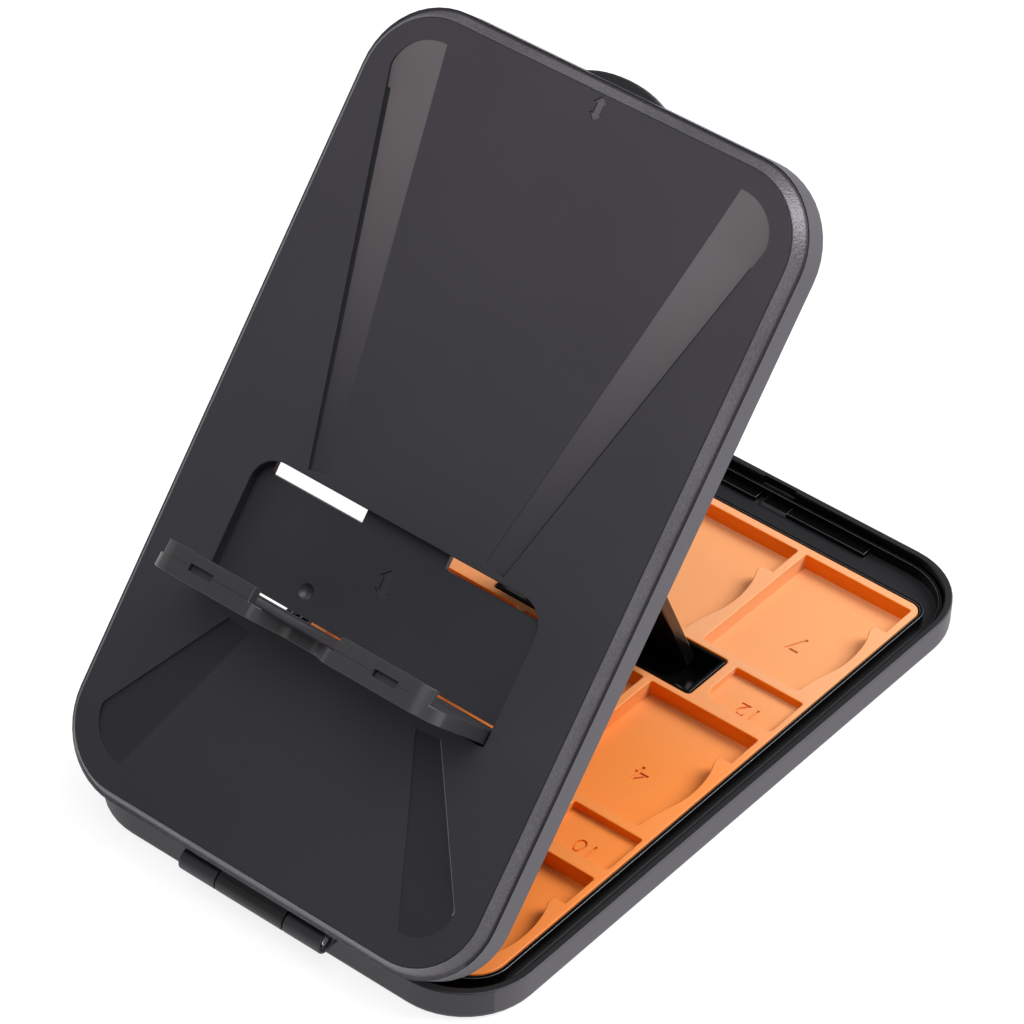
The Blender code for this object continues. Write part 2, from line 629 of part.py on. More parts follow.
def make_ledge_flap(flap_pivot, material):
    """The folding ledge: a plate with two hooked lips, on two moulded trunnions."""
    half = FLAP_HALF_WIDTH
    tip = FLAP_LENGTH
    lean = math.degrees(math.asin(-FLAP_INNER_FACE / FLAP_BARREL_RADIUS))
    side = arc(0.0, 0.0, FLAP_BARREL_RADIUS, 90.0, 180.0 + lean, CORNER_STEPS)
    side += [(tip, FLAP_INNER_FACE), (tip, FLAP_BARREL_RADIUS)]
    flap = prisms("ledge_flap", [(side, -half, half, "X")], flap_pivot, material)

    lip = box_outline(HOOK_INNER, HOOK_OUTER, tip - HOOK_THICKNESS, tip - EDGE / 2)
    lip_low = FLAP_BARREL_RADIUS - HOOK_HEIGHT
    lip_high = FLAP_INNER_FACE + FLAP_THICKNESS / 2
    lips = [(lip, lip_low, lip_high), (mirrored(lip), lip_low, lip_high)]
    combine(flap, "UNION", prisms("hook_lips", lips, flap_pivot))

    corner = corner_clip(half, tip, WINDOW_FAR_RADIUS - FLAP_SIDE_CLEARANCE)
    dip = [
        (FLAP_DIP_HALF_BOTTOM, tip - FLAP_DIP_DEPTH),
        (FLAP_DIP_HALF_TOP, tip),
        (FLAP_DIP_HALF_TOP, tip + SINK),
    ]
    low, high = lip_low - SINK, FLAP_BARREL_RADIUS + SINK
    clips = [(clip, low, high) for clip in (corner, mirrored(corner), dip + mirrored(dip))]
    combine(flap, "DIFFERENCE", prisms("flap_outline", clips, flap_pivot))
    slot = box_outline(HOOK_SLOT_INNER, HOOK_SLOT_OUTER, tip - HOOK_SLOT_DEPTH, tip + SINK)
    slot_high = FLAP_BARREL_RADIUS - HOOK_SLOT_LEVEL
    slots = [(s, slot_high - HOOK_SLOT_HEIGHT, slot_high) for s in (slot, mirrored(slot))]
    combine(flap, "DIFFERENCE", prisms("hook_slots", slots, flap_pivot))

    reach = half + FLAP_TRUNNION_LENGTH
    pegs = []
    for low, high in ((half - SINK, reach), (-reach, -half + SINK)):
        pegs.append((disc(0.0, 0.0, FLAP_TRUNNION_RADIUS), low, high, "X"))
    combine(flap, "UNION", prisms("flap_trunnions", pegs, flap_pivot))
    return flap


def strut_foot_place():
    """Where the foot's round end stands in the well, from the hinge axis."""
    radius = STRUT_THICKNESS / 2
    y = WELL_NEAR + WELL_LENGTH - WELL_WALL - GAP - radius
    z = BASE_FLOOR + GAP + radius - AXIS_Z
    return y, z


def strut_geometry():
    """The strut's length between its ends' centres, and its angle from the lid."""
    angle = math.radians(LID_OPEN_ANGLE)
    pivot_y = STRUT_PIVOT_Y * math.cos(angle) - STRUT_PIVOT_Z * math.sin(angle)
    pivot_z = STRUT_PIVOT_Y * math.sin(angle) + STRUT_PIVOT_Z * math.cos(angle)
    foot_y, foot_z = strut_foot_place()
    length = math.hypot(foot_y - pivot_y, foot_z - pivot_z)
    from_lid = math.degrees(math.atan2(pivot_z - foot_z, pivot_y - foot_y)) - LID_OPEN_ANGLE
    return length, from_lid


def make_prop_strut(strut_pivot, length, material):
    """The strut: a plate on two moulded trunnions, with round ends."""
    half = STRUT_WIDTH / 2
    radius = STRUT_THICKNESS / 2
    side = arc(0.0, 0.0, radius, -90.0, 90.0, CORNER_STEPS)
    side += arc(-length, 0.0, radius, 90.0, 270.0, CORNER_STEPS)
    strut = prisms("prop_strut", [(side, -half, half, "X")], strut_pivot, material)
    corner = [(x, -y) for x, y in reversed(corner_clip(half, length + radius, STRUT_CORNER_RADIUS))]
    clips = [(c, -2 * radius, 2 * radius) for c in (corner, mirrored(corner))]
    combine(strut, "DIFFERENCE", prisms("foot_corners", clips, strut_pivot))
    reach = half + STRUT_TRUNNION_LENGTH
    pegs = []
    for low, high in ((half - SINK, reach), (-reach, -half + SINK)):
        pegs.append((disc(0.0, 0.0, STRUT_TRUNNION_RADIUS), low, high, "X"))
    combine(strut, "UNION", prisms("strut_trunnions", pegs, strut_pivot))
    return strut


def main():
    for obj in list(bpy.data.objects):
        bpy.data.objects.remove(obj, do_unlink=True)

    matte_grey = finish_of("matte dark grey plastic", (0.055, 0.054, 0.061), 0.55)
    gloss_black = finish_of("gloss black plastic", (0.008, 0.008, 0.009), 0.25)
    satin_black = finish_of("satin black plastic", (0.024, 0.024, 0.027), 0.4)
    soft_orange = finish_of("matte orange plastic", (0.93, 0.36, 0.11), 0.6)
    steel = finish_of("steel", (0.55, 0.55, 0.56), 0.3)
    steel.node_tree.nodes["Principled BSDF"].inputs["Metallic"].default_value = 1.0

    make_base_shell(matte_grey)
    make_inner_frame(gloss_black)
    make_card_tray(soft_orange)
    make_hinge_pin(steel)

    lid_pivot = pivot("lid_pivot", AXIS_Y, AXIS_Z, LID_OPEN_ANGLE)
    make_lid_shell(lid_pivot, matte_grey)
    make_lid_inner_panel(lid_pivot, satin_black)
    flap_pivot = pivot("flap_pivot", FLAP_PIVOT_Y, FLAP_PIVOT_Z, FLAP_OPEN_ANGLE, lid_pivot)
    make_ledge_flap(flap_pivot, satin_black)
    length, from_lid = strut_geometry()
    strut_pivot = pivot("strut_pivot", STRUT_PIVOT_Y, STRUT_PIVOT_Z, from_lid, lid_pivot)
    make_prop_strut(strut_pivot, length, satin_black)


main()
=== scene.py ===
"""Looks of a hinged game card holder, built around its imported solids.

Every form is shaped in millimetres in its own place: y runs from the hinge line towards the
latch side, and a piece on the lid is shaped with the case shut. A placement then turns it to
the open pose, in metres.
"""

import json
import logging
import math
from collections.abc import Callable, Iterable, Sequence
from dataclasses import dataclass, replace
from enum import Enum

import bmesh
import bpy
from mathutils import Matrix, Vector


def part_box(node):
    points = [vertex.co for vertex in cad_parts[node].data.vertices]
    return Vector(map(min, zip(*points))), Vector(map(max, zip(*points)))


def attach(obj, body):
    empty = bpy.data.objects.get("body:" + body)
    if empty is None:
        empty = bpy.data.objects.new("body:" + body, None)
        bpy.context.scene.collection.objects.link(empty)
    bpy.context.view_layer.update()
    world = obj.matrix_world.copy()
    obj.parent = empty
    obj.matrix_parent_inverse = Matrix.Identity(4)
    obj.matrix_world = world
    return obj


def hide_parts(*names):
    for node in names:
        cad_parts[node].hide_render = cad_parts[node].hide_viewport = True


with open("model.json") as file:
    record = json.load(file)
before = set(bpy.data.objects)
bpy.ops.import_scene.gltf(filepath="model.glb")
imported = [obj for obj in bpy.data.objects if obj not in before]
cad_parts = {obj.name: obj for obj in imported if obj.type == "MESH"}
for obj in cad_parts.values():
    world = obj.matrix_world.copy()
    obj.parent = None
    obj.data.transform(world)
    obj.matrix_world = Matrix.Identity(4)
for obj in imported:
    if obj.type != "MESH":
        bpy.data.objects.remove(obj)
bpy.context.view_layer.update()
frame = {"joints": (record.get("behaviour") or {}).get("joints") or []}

logging.basicConfig(level=logging.INFO, format="%(message)s")
log = logging.getLogger("card_holder")

MM = 0.001
SHARP_ANGLE = 40.0
LID_LIMIT_ANGLE = 150.0
MERGE = 0.0005
TOUCH = 0.01
MARGIN = 0.1
CLEAR = 1.0
UPWARDS = 0.9
OUTER = 10.0
FLAT_ANGLE = 0.05
FULL_CUT = 0.999
# A bevelled corner bulges by this share of the way from its chord to the corner
CORNER_BULGE = 1.0 - (2.0 - math.sqrt(2.0))
# Puts corners, edges and faces in one order, whatever order a cut leaves them in
ORDER = Vector((1.0, 0.618034, 0.324718))
# Turns a form drawn in X and Y and raised along Z into one drawn in Y and Z and run along X
ALONG_X = Matrix(((0, 0, 1, 0), (1, 0, 0, 0), (0, 1, 0, 0), (0, 0, 0, 1)))

Pair = tuple[float, float]
Triple = tuple[float, float, float]
Corner = Triple
EdgeTest = Callable[[Vector], bool]
FaceTest = Callable[[Vector, Vector], bool]


class Body(Enum):
    """The bodies that the pieces ride on."""

    BASE = "base"
    LID = "lid"
    STRUT = "strut"
    FLAP = "flap"


class Slot(Enum):
    """The record's material slots."""

    SHELL = "shell_grey"
    LINER = "liner_black"
    TRAY = "tray_orange"
    SATIN = "satin_black"
    STEEL = "pin_steel"


class Cut(Enum):
    """What a second form does to the first."""

    AWAY = "DIFFERENCE"
    JOIN = "UNION"


class Grain(Enum):
    """Surface patterns of moulded and drawn material."""

    FINE = "fine"
    CELLS = "cells"
    STREAKS = "streaks"


class Wire:
    """A socket in a material, whose arithmetic adds Math nodes."""

    def __init__(self, board: "Board", socket: bpy.types.NodeSocket) -> None:
        """Wrap one output socket."""
        self.board = board
        self.socket = socket

    def _math(self, operation: str, first: "Feed", second: "Feed") -> "Wire":
        """Add a Math node."""
        return self.board.add("ShaderNodeMath", {"operation": operation}, {0: first, 1: second})

    def __add__(self, other: "Feed") -> "Wire":
        """Add a number or another wire."""
        return self._math("ADD", self, other)

    def __sub__(self, other: "Feed") -> "Wire":
        """Take a number or another wire away."""
        return self._math("SUBTRACT", self, other)

    def __mul__(self, other: "Feed") -> "Wire":
        """Multiply with a number or another wire."""
        return self._math("MULTIPLY", self, other)

    __rmul__ = __mul__


Feed = float | tuple[float, ...] | Wire


class Board:
    """A material's node tree."""

    def __init__(self, name: str) -> None:
        """Start a material with a plain shader."""
        self.material = bpy.data.materials.new(name)
        self.material.use_nodes = True
        self.tree = self.material.node_tree
        self.shader = self.tree.nodes["Principled BSDF"]

    def add(self, kind: str, settings: dict[str, object], feeds: dict[int | str, Feed],
            out: int | str = 0) -> Wire:
        """Add any node.

        Args:
            kind: The node's type.
            settings: Its properties, set before its sockets.
            feeds: Values or wires of its input sockets.
            out: The output that is handed on.

        Returns:
            The output, wrapped for arithmetic.
        """
        node = self.tree.nodes.new(kind)
        for key, value in settings.items():
            setattr(node, key, value)
        self.feed(node, feeds)
        return Wire(self, node.outputs[out])

    def feed(self, node: bpy.types.Node, feeds: dict[int | str, Feed]) -> None:
        """Set or link input sockets of a node.

        Args:
            node: The node.
            feeds: Values or wires by socket.
        """
        for key, value in feeds.items():
            if isinstance(value, Wire):
                self.tree.links.new(value.socket, node.inputs[key])
            else:
                node.inputs[key].default_value = value

    def place(self, stretch: Triple = (1.0, 1.0, 1.0)) -> Wire:
        """Object coordinates, stretched along their axes."""
        spot = self.add("ShaderNodeTexCoord", {}, {}, "Object")
        return self.add("ShaderNodeMapping", {}, {"Vector": spot, "Scale": stretch})

    def noise(self, place: Wire, size: float, detail: float) -> Wire:
        """Noise whose features are about size millimetres across, from 0 to 1."""
        feeds = {"Vector": place, "Scale": 1.0 / (size * MM), "Detail": detail}
        return self.add("ShaderNodeTexNoise", {}, feeds)

    def cells(self, place: Wire, size: float) -> Wire:
        """Distance to the nearest of scattered points about size millimetres apart."""
        return self.add("ShaderNodeTexVoronoi", {}, {"Vector": place, "Scale": 1.0 / (size * MM)}, "Distance")

    def tint(self, factor: Wire, dark: Sequence[float], light: Sequence[float]) -> Wire:
        """Mix two colours.

        Args:
            factor: From 0 for dark to 1 for light.
            dark: Red, green and blue.
            light: Red, green and blue.

        Returns:
            The mixed colour.
        """
        return self.mix(factor, (*dark, 1.0), (*light, 1.0))

    def mix(self, factor: Wire, first: Feed, second: Feed) -> Wire:
        """Mix two colours or wires of colour."""
        return self.add("ShaderNodeMix", {"data_type": "RGBA"}, {0: factor, 6: first, 7: second}, 2)


@dataclass(frozen=True)
class Finish:
    """A moulded, painted or drawn surface.

    Sizes are in millimetres. Spread is how far colour and roughness wander over the surface.
    """

    name: str
    colour: Triple
    roughness: float
    grain: Grain = Grain.FINE
    grain_size: float = 0.3
    grain_depth: float = 0.004
    cloud_size: float = 22.0
    spread: float = 0.12
    roughness_spread: float = 0.06
    specular: float = 0.5
    metallic: float = 0.0
    gloss_tint: Triple = (1.0, 1.0, 1.0)
    glow: float = 0.0

    def pattern(self, board: Board) -> Wire:
        """The fine relief of the surface, from 0 to 1."""
        if self.grain is Grain.STREAKS:
            return board.noise(board.place((0.04, 1.0, 1.0)), self.grain_size, 3.0)
        fine = board.noise(board.place(), self.grain_size, 3.0)
        if self.grain is Grain.FINE:
            return fine
        return 0.7 * board.cells(board.place(), self.grain_size) + 0.3 * fine

    def shade(self, board: Board, wander: Wire) -> Wire:
        """The colour, wandering a little over the surface.

        Args:
            board: The material's nodes.
            wander: From 0 for darker to 1 for lighter.

        Returns:
            The colour.
        """
        return self.around(board, wander, self.colour)

    def around(self, board: Board, wander: Wire, colour: Sequence[float]) -> Wire:
        """One colour, spread to both sides."""
        dark = [channel * (1.0 - self.spread) for channel in colour]
        light = [channel * (1.0 + self.spread) for channel in colour]
        return board.tint(wander, dark, light)

    def make(self) -> bpy.types.Material:
        """Build the material.

        Returns:
            The finished material.
        """
        board = Board(self.name)
        grain = self.pattern(board)
        cloud = board.noise(board.place(), self.cloud_size, 2.0)
        wander = 0.6 * cloud + 0.4 * grain
        bump = board.add("ShaderNodeBump", {}, {"Height": grain, "Distance": self.grain_depth * MM})
        board.feed(board.shader, {
            "Base Color": self.shade(board, wander),
            "Roughness": (wander - 0.5) * (2.0 * self.roughness_spread) + self.roughness,
            "Normal": bump,
            "Metallic": self.metallic,
            "Specular IOR Level": self.specular,
            "Specular Tint": (*self.gloss_tint, 1.0),
            "Emission Color": (1.0, 1.0, 1.0, 1.0),
            "Emission Strength": self.glow,
        })
        return board.material


@dataclass(frozen=True)
class FadingFinish(Finish):
    """A surface whose colour changes along the case, painting light and shade that fall unevenly along it.

    The levels are places along the axis, in millimetres, between which the colour changes.
    """

    axis: str = "Z"
    low_colour: Triple = (0.0, 0.0, 0.0)
    high_colour: Triple = (1.0, 1.0, 1.0)
    low_levels: Pair = (-50.0, -5.0)
    high_levels: Pair = (-4.0, 32.0)

    def shade(self, board: Board, wander: Wire) -> Wire:
        """The colour at its place along the axis, wandering a little over the surface."""
        low = self.around(board, wander, self.low_colour)
        middle = self.around(board, wander, self.colour)
        high = self.around(board, wander, self.high_colour)
        spot = board.add("ShaderNodeSeparateXYZ", {}, {"Vector": board.place()}, self.axis)
        return board.mix(self.share(board, spot, self.high_levels),
                         board.mix(self.share(board, spot, self.low_levels), low, middle), high)

    def share(self, board: Board, spot: Wire, levels: Pair) -> Wire:
        """How far a place is between two levels, from 0 to 1."""
        settings = {"interpolation_type": "SMOOTHSTEP"}
        feeds = {"Value": spot, "From Min": levels[0] * MM, "From Max": levels[1] * MM}
        return board.add("ShaderNodeMapRange", settings, feeds, "Result")


GREY_GLOSS = (0.96, 0.92, 1.0)
MATTE_GREY = Finish("matte grey plastic", (0.0195, 0.0182, 0.0222), 0.5, grain_size=0.35, grain_depth=0.01,
                    specular=0.55, gloss_tint=GREY_GLOSS)
# A lighter copy of the grey for the outer sides: painted reflection of the pale floor.
SIDE_REFLECTION_GREY = replace(MATTE_GREY, name="matte grey plastic with a painted reflection on the sides", colour=(0.036, 0.0335, 0.040),
                    specular=0.75, gloss_tint=(0.95, 0.90, 1.0))
# Painted light and shade: the lid's face is lighter towards its far end and darker towards the hinge, as the
# light falls on it.
LID_GREY = FadingFinish("matte grey plastic of the lid", (0.0228, 0.0219, 0.0262), 0.5, grain_size=0.35,
                        grain_depth=0.01, specular=0.6, gloss_tint=GREY_GLOSS,
                        low_colour=(0.0155, 0.0151, 0.0200), high_colour=(0.0292, 0.0271, 0.0325),
                        low_levels=(10.0, 66.0), high_levels=(66.0, 125.0))
# The band's grain and tone are its own; its lighter colour towards the hinge end is a painted reflection.
BAND_GREY = FadingFinish("textured grey plastic", (0.058, 0.055, 0.063), 0.46, Grain.CELLS, grain_size=0.5,
                         grain_depth=0.09, spread=0.9, specular=0.7, gloss_tint=GREY_GLOSS,
                         low_colour=(0.105, 0.100, 0.112), high_colour=(0.060, 0.056, 0.064),
                         low_levels=(8.0, 22.0), high_levels=(68.0, 122.0))
# Smooth plastic with a painted sheen: the flute floors grow much paler towards the lid's far end, and the
# engraved arrow takes the same sheen.
FLUTE_GREY = FadingFinish("smooth grey plastic", (0.030, 0.029, 0.034), 0.42, gloss_tint=GREY_GLOSS,
                          low_colour=(0.0168, 0.0164, 0.0212), high_colour=(0.115, 0.103, 0.108),
                          low_levels=(50.0, 66.0), high_levels=(68.0, 122.0))
# Painted light: a light grey laid on the catch block's front face, and as highlights along the lid's groove
# and the lower flute's outer edge.
PAINTED_LIGHT_GREY = Finish("grey of painted light", (0.17, 0.165, 0.175), 0.4)
GLOSS_BLACK = Finish("gloss black plastic", (0.0025, 0.0025, 0.003), 0.16, grain_size=1.5, grain_depth=0.001,
                     specular=0.3)
# The orange gloss tint is a painted reflection of the orange tray.
STRUT_BLACK = Finish("polished black plastic", (0.0035, 0.0032, 0.003), 0.2, grain_size=1.5,
                     grain_depth=0.001, gloss_tint=(1.0, 0.72, 0.42))
# Painted highlight: a lighter black laid on the liner's rounded edges, where they would catch the light.
EDGE_HIGHLIGHT_BLACK = Finish("black plastic with painted edge highlights", (0.05, 0.051, 0.054), 0.3, grain_size=0.6)
# Satin black plastic, also laid as painted shade on the lid's inner walls, along the upper flutes' outer edge
# and in part on the thumb tab.
SATIN_BLACK_AND_SHADE = Finish("satin black plastic", (0.014, 0.014, 0.016), 0.42, specular=0.4)
PANEL_BLACK = Finish("satin black plastic of the lid's panel", (0.021, 0.0205, 0.0245), 0.48, grain_size=0.35,
                     grain_depth=0.006, specular=0.6, gloss_tint=GREY_GLOSS)
LEDGE_BLACK = Finish("satin black plastic of the ledge", (0.0275, 0.0272, 0.0310), 0.38, grain_depth=0.006,
                     specular=0.65)
MARK_GREY = Finish("grey mark", (0.030, 0.030, 0.033), 0.5)
# Painted shade: the orange is darker and deeper towards the hinge, where the open lid shades the tray, and
# paler towards the latch end.
SOFT_ORANGE = FadingFinish("soft orange plastic", (0.74, 0.219, 0.043), 0.5, grain_size=0.25,
                           grain_depth=0.006, spread=0.03, specular=0.35, axis="Y",
                           low_colour=(0.74, 0.203, 0.034), high_colour=(0.72, 0.302, 0.123))
# A paler copy of the orange for the tray's top faces: painted light, with the same painted shade towards the
# hinge.
LIT_ORANGE = replace(SOFT_ORANGE, name="soft orange plastic with painted light on the tops", colour=(0.76, 0.235, 0.056),
                      low_colour=(0.75, 0.218, 0.046), high_colour=(0.74, 0.33, 0.155))
# A deeper copy of the orange for the slot walls that face the hinge end: painted shade.
SHADED_ORANGE = Finish("soft orange plastic with painted shade on the walls", (0.95, 0.195, 0.002), 0.5, grain_size=0.25,
                     grain_depth=0.006, spread=0.03, specular=0.2)
DRAWN_STEEL = Finish("drawn steel", (0.55, 0.55, 0.56), 0.3, Grain.STREAKS, grain_size=0.1, metallic=1.0)
PALE_FLOOR = Finish("pale floor", (0.2, 0.2, 0.2), 0.7, grain_size=3.0, grain_depth=0.0, spread=0.0,
                    specular=0.0, glow=0.85)


class Shape:
    """A closed form in millimetres, shaped with bmesh operators."""

    def __init__(self) -> None:
        """Start empty."""
        self.bm = bmesh.new()
        self.face: bmesh.types.BMFace | None = None

    @classmethod
    def plate(cls, corners: Sequence[Corner], low: float, high: float) -> "Shape":
        """Raise a flat outline with rounded corners into a plate.

        Args:
            corners: Each corner's x and y, and how far from it its rounding starts.
            low: Level of the lower face.
            high: Level of the upper face, which stays the working face.

        Returns:
            The plate.
        """
        shape = cls()
        bm = shape.bm
        verts = [bm.verts.new((x, y, low)) for x, y, _ in corners]
        bm.faces.new(verts)
        for vert, (_, _, cut) in zip(verts, corners):
            if cut > 0.0:
                steps = 12 if cut > 2.0 else 5
                bmesh.ops.bevel(bm, geom=[vert], offset=cut, offset_type="OFFSET", affect="VERTICES",
                                segments=steps, profile=0.5, material=-1)
        bmesh.ops.remove_doubles(bm, verts=bm.verts, dist=MERGE)
        lower = bm.faces[:][0]
        extruded = bmesh.ops.extrude_face_region(bm, geom=[lower], use_keep_orig=True)["geom"]
        raised = [item for item in extruded if isinstance(item, bmesh.types.BMVert)]
        shape.face = next(item for item in extruded if isinstance(item, bmesh.types.BMFace))
        bmesh.ops.translate(bm, vec=(0.0, 0.0, high - low), verts=raised)
        bmesh.ops.recalc_face_normals(bm, faces=bm.faces)
        return shape

    @classmethod
    def box(cls, x: Pair, y: Pair, z: Pair, cut: float = 0.0) -> "Shape":
        """A box between two places on each axis, with its upright edges rounded by cut."""
        corners = [(x[0], y[0], cut), (x[1], y[0], cut), (x[1], y[1], cut), (x[0], y[1], cut)]
        return cls.plate(corners, z[0], z[1])

    @classmethod
    def bar(cls, corners: Sequence[Corner], x: Pair) -> "Shape":
        """A form drawn in Y and Z and run along X."""
        return cls.plate(corners, x[0], x[1]).moved(ALONG_X)

    @classmethod
    def rod(cls, radius: float, x: Pair, y: float, z: float, steps: int = 48) -> "Shape":
        """A round rod along X.

        Args:
            radius: Its radius.
            x: Its two ends.
            y: Its axis.
            z: Its axis.
            steps: Faces round it.

        Returns:
            The rod.
        """
        shape = cls()
        turn = Matrix.Translation(((x[0] + x[1]) / 2, y, z)) @ Matrix.Rotation(math.pi / 2, 4, "Y")
        bmesh.ops.create_cone(shape.bm, cap_ends=True, segments=steps, radius1=radius, radius2=radius,
                              depth=x[1] - x[0], matrix=turn)
        return shape

    @classmethod
    def ball(cls, radius: float, centre: Vector) -> "Shape":
        """A ball."""
        shape = cls()
        bmesh.ops.create_uvsphere(shape.bm, u_segments=48, v_segments=32, radius=radius,
                                  matrix=Matrix.Translation(centre))
        return shape

    @classmethod
    def numeral(cls, text: str, centre: Pair, height: float, z: Pair) -> "Shape":
        """A number as a solid, to be read from the latch side.

        Args:
            text: Its digits.
            centre: Its middle.
            height: Height of its digits.
            z: Its lower and upper level.

        Returns:
            The solid number.
        """
        curve = bpy.data.curves.new("numeral", "FONT")
        curve.body = text
        curve.extrude = (z[1] - z[0]) / 2
        curve.resolution_u = 5
        holder = bpy.data.objects.new("numeral", curve)
        bpy.context.scene.collection.objects.link(holder)
        shape = cls()
        shape._read(holder)
        bpy.data.objects.remove(holder)
        bpy.data.curves.remove(curve)
        bmesh.ops.remove_doubles(shape.bm, verts=shape.bm.verts, dist=MERGE * 0.1)
        low, high = shape.extent()
        middle = (low + high) / 2
        scale = height / (high.y - low.y)
        grow = Matrix.Diagonal((scale, scale, 1.0, 1.0))
        turn = Matrix.Rotation(math.pi, 4, "Z")
        to_spot = Matrix.Translation((centre[0], centre[1], (z[0] + z[1]) / 2))
        return shape.moved(to_spot @ turn @ grow @ Matrix.Translation(-middle))

    def _read(self, holder: bpy.types.Object) -> None:
        """Take over an object's mesh, modifiers included."""
        bpy.context.view_layer.update()
        seen = holder.evaluated_get(bpy.context.evaluated_depsgraph_get())
        mesh = seen.to_mesh()
        self.bm.clear()
        self.bm.from_mesh(mesh)
        seen.to_mesh_clear()
        self.face = None
        self.bm.verts.sort(key=lambda vert: vert.co.dot(ORDER))
        self.bm.edges.sort(key=lambda edge: (edge.verts[0].co + edge.verts[1].co).dot(ORDER))
        self.bm.faces.sort(key=lambda face: face.calc_center_median().dot(ORDER))

    def extent(self) -> tuple[Vector, Vector]:
        """The lowest and highest corner."""
        axes = list(zip(*(vert.co for vert in self.bm.verts)))
        return Vector([min(axis) for axis in axes]), Vector([max(axis) for axis in axes])

    def moved(self, matrix: Matrix) -> "Shape":
        """Move, turn or scale the form."""
        bmesh.ops.transform(self.bm, matrix=matrix, verts=self.bm.verts)
        if matrix.determinant() < 0.0:
            bmesh.ops.reverse_faces(self.bm, faces=self.bm.faces)
        return self

    def copy(self) -> "Shape":
        """A second form like this one."""
        twin = Shape()
        twin.bm.free()
        twin.bm = self.bm.copy()
        return twin

    def twin(self) -> "Shape":
        """The mirror image on the other side of the middle line."""
        return self.copy().moved(Matrix.Diagonal((-1.0, 1.0, 1.0, 1.0)))

    def work_on(self, direction: Vector) -> "Shape":
        """Make the largest face that looks this way the working face."""
        facing = [face for face in self.bm.faces if face.normal.dot(direction) > 0.99]
        self.face = max(facing, key=lambda face: face.calc_area())
        return self

    def step(self, inwards: float, outwards: float) -> "Shape":
        """Narrow the working face and move it out along its normal, with a slope between."""
        bmesh.ops.inset_region(self.bm, faces=[self.face], thickness=inwards, depth=outwards,
                               use_even_offset=True, use_boundary=True)
        return self

    def push(self, travel: float) -> "Shape":
        """Move the working face straight along Z, with a wall behind it."""
        left_behind = self.face
        extruded = bmesh.ops.extrude_face_region(self.bm, geom=[left_behind])["geom"]
        verts = [item for item in extruded if isinstance(item, bmesh.types.BMVert)]
        self.face = next(item for item in extruded if isinstance(item, bmesh.types.BMFace))
        bmesh.ops.delete(self.bm, geom=[left_behind], context="FACES_ONLY")
        bmesh.ops.translate(self.bm, vec=(0.0, 0.0, travel), verts=verts)
        return self

    def round_edges(self, width: float, where: EdgeTest | None = None, steps: int = 3) -> "Shape":
        """Round the sharp edges.

        Args:
            width: Where the rounding starts, from the edge.
            where: Says from an edge's middle whether it is one of them. None takes all.
            steps: Faces across the rounding.

        Returns:
            The form itself.
        """
        sharp = []
        for edge in self.bm.edges:
            middle = (edge.verts[0].co + edge.verts[1].co) / 2
            if edge.calc_face_angle(0.0) > math.radians(SHARP_ANGLE) and (where is None or where(middle)):
                sharp.append(edge)
        bmesh.ops.bevel(self.bm, geom=sharp, offset=width, offset_type="OFFSET", affect="EDGES",
                        segments=steps, profile=0.5, material=-1, loop_slide=True)
        bmesh.ops.dissolve_degenerate(self.bm, edges=self.bm.edges, dist=MERGE)
        return self

    def _holder(self) -> bpy.types.Object:
        """A hidden object with a copy of the form."""
        mesh = bpy.data.meshes.new("form")
        self.bm.to_mesh(mesh)
        holder = bpy.data.objects.new("form", mesh)
        bpy.context.scene.collection.objects.link(holder)
        return holder

    def combine(self, cut: Cut, others: Iterable["Shape"]) -> "Shape":
        """Cut other forms away, or join them on, one after the other.

        Args:
            cut: What they do.
            others: The other forms, which are used up.

        Returns:
            The form itself.
        """
        target = self._holder()
        helpers = [target]
        for other in others:
            tool = other._holder()
            helpers.append(tool)
            modifier = target.modifiers.new("cut", "BOOLEAN")
            modifier.operation = cut.value
            modifier.solver = "EXACT"
            modifier.object = tool
            other.bm.free()
        self._read(target)
        for helper in helpers:
            mesh = helper.data
            bpy.data.objects.remove(helper)
            bpy.data.meshes.remove(mesh)
        bmesh.ops.remove_doubles(self.bm, verts=self.bm.verts, dist=MERGE)
        bmesh.ops.dissolve_degenerate(self.bm, edges=self.bm.edges, dist=MERGE)
        bmesh.ops.dissolve_limit(self.bm, angle_limit=math.radians(FLAT_ANGLE), verts=self.bm.verts,
                                 edges=self.bm.edges, delimit={"MATERIAL"})
        return self

    def trim(self, other: "Shape") -> "Shape":
        """Keep only what lies inside another form, which is used up."""
        return self.combine(Cut.AWAY, [self.copy().combine(Cut.AWAY, [other])])

    def close_seams(self) -> "Shape":
        """Split open edges at the corners that lie along them, and join what meets there."""
        loose = [vert for vert in self.bm.verts if not all(edge.is_manifold for edge in vert.link_edges)]
        for vert in loose:
            for edge in [edge for edge in self.bm.edges if not edge.is_manifold and vert not in edge.verts]:
                first, last = (end.co for end in edge.verts)
                share = (vert.co - first).dot(last - first) / (last - first).length_squared
                if 0.0 < share < 1.0 and (first.lerp(last, share) - vert.co).length < MERGE:
                    bmesh.utils.edge_split(edge, edge.verts[0], share)
        bmesh.ops.remove_doubles(self.bm, verts=self.bm.verts, dist=MERGE)
        return self

    def paint(self, index: int, where: FaceTest) -> "Shape":
        """Give faces another finish.

        Args:
            index: The finish's place in the piece's list.
            where: Says it from a face's middle and normal.

        Returns:
            The form itself.
        """
        for face in self.bm.faces:
            if where(face.calc_center_median(), face.normal):
                face.material_index = index
        return self

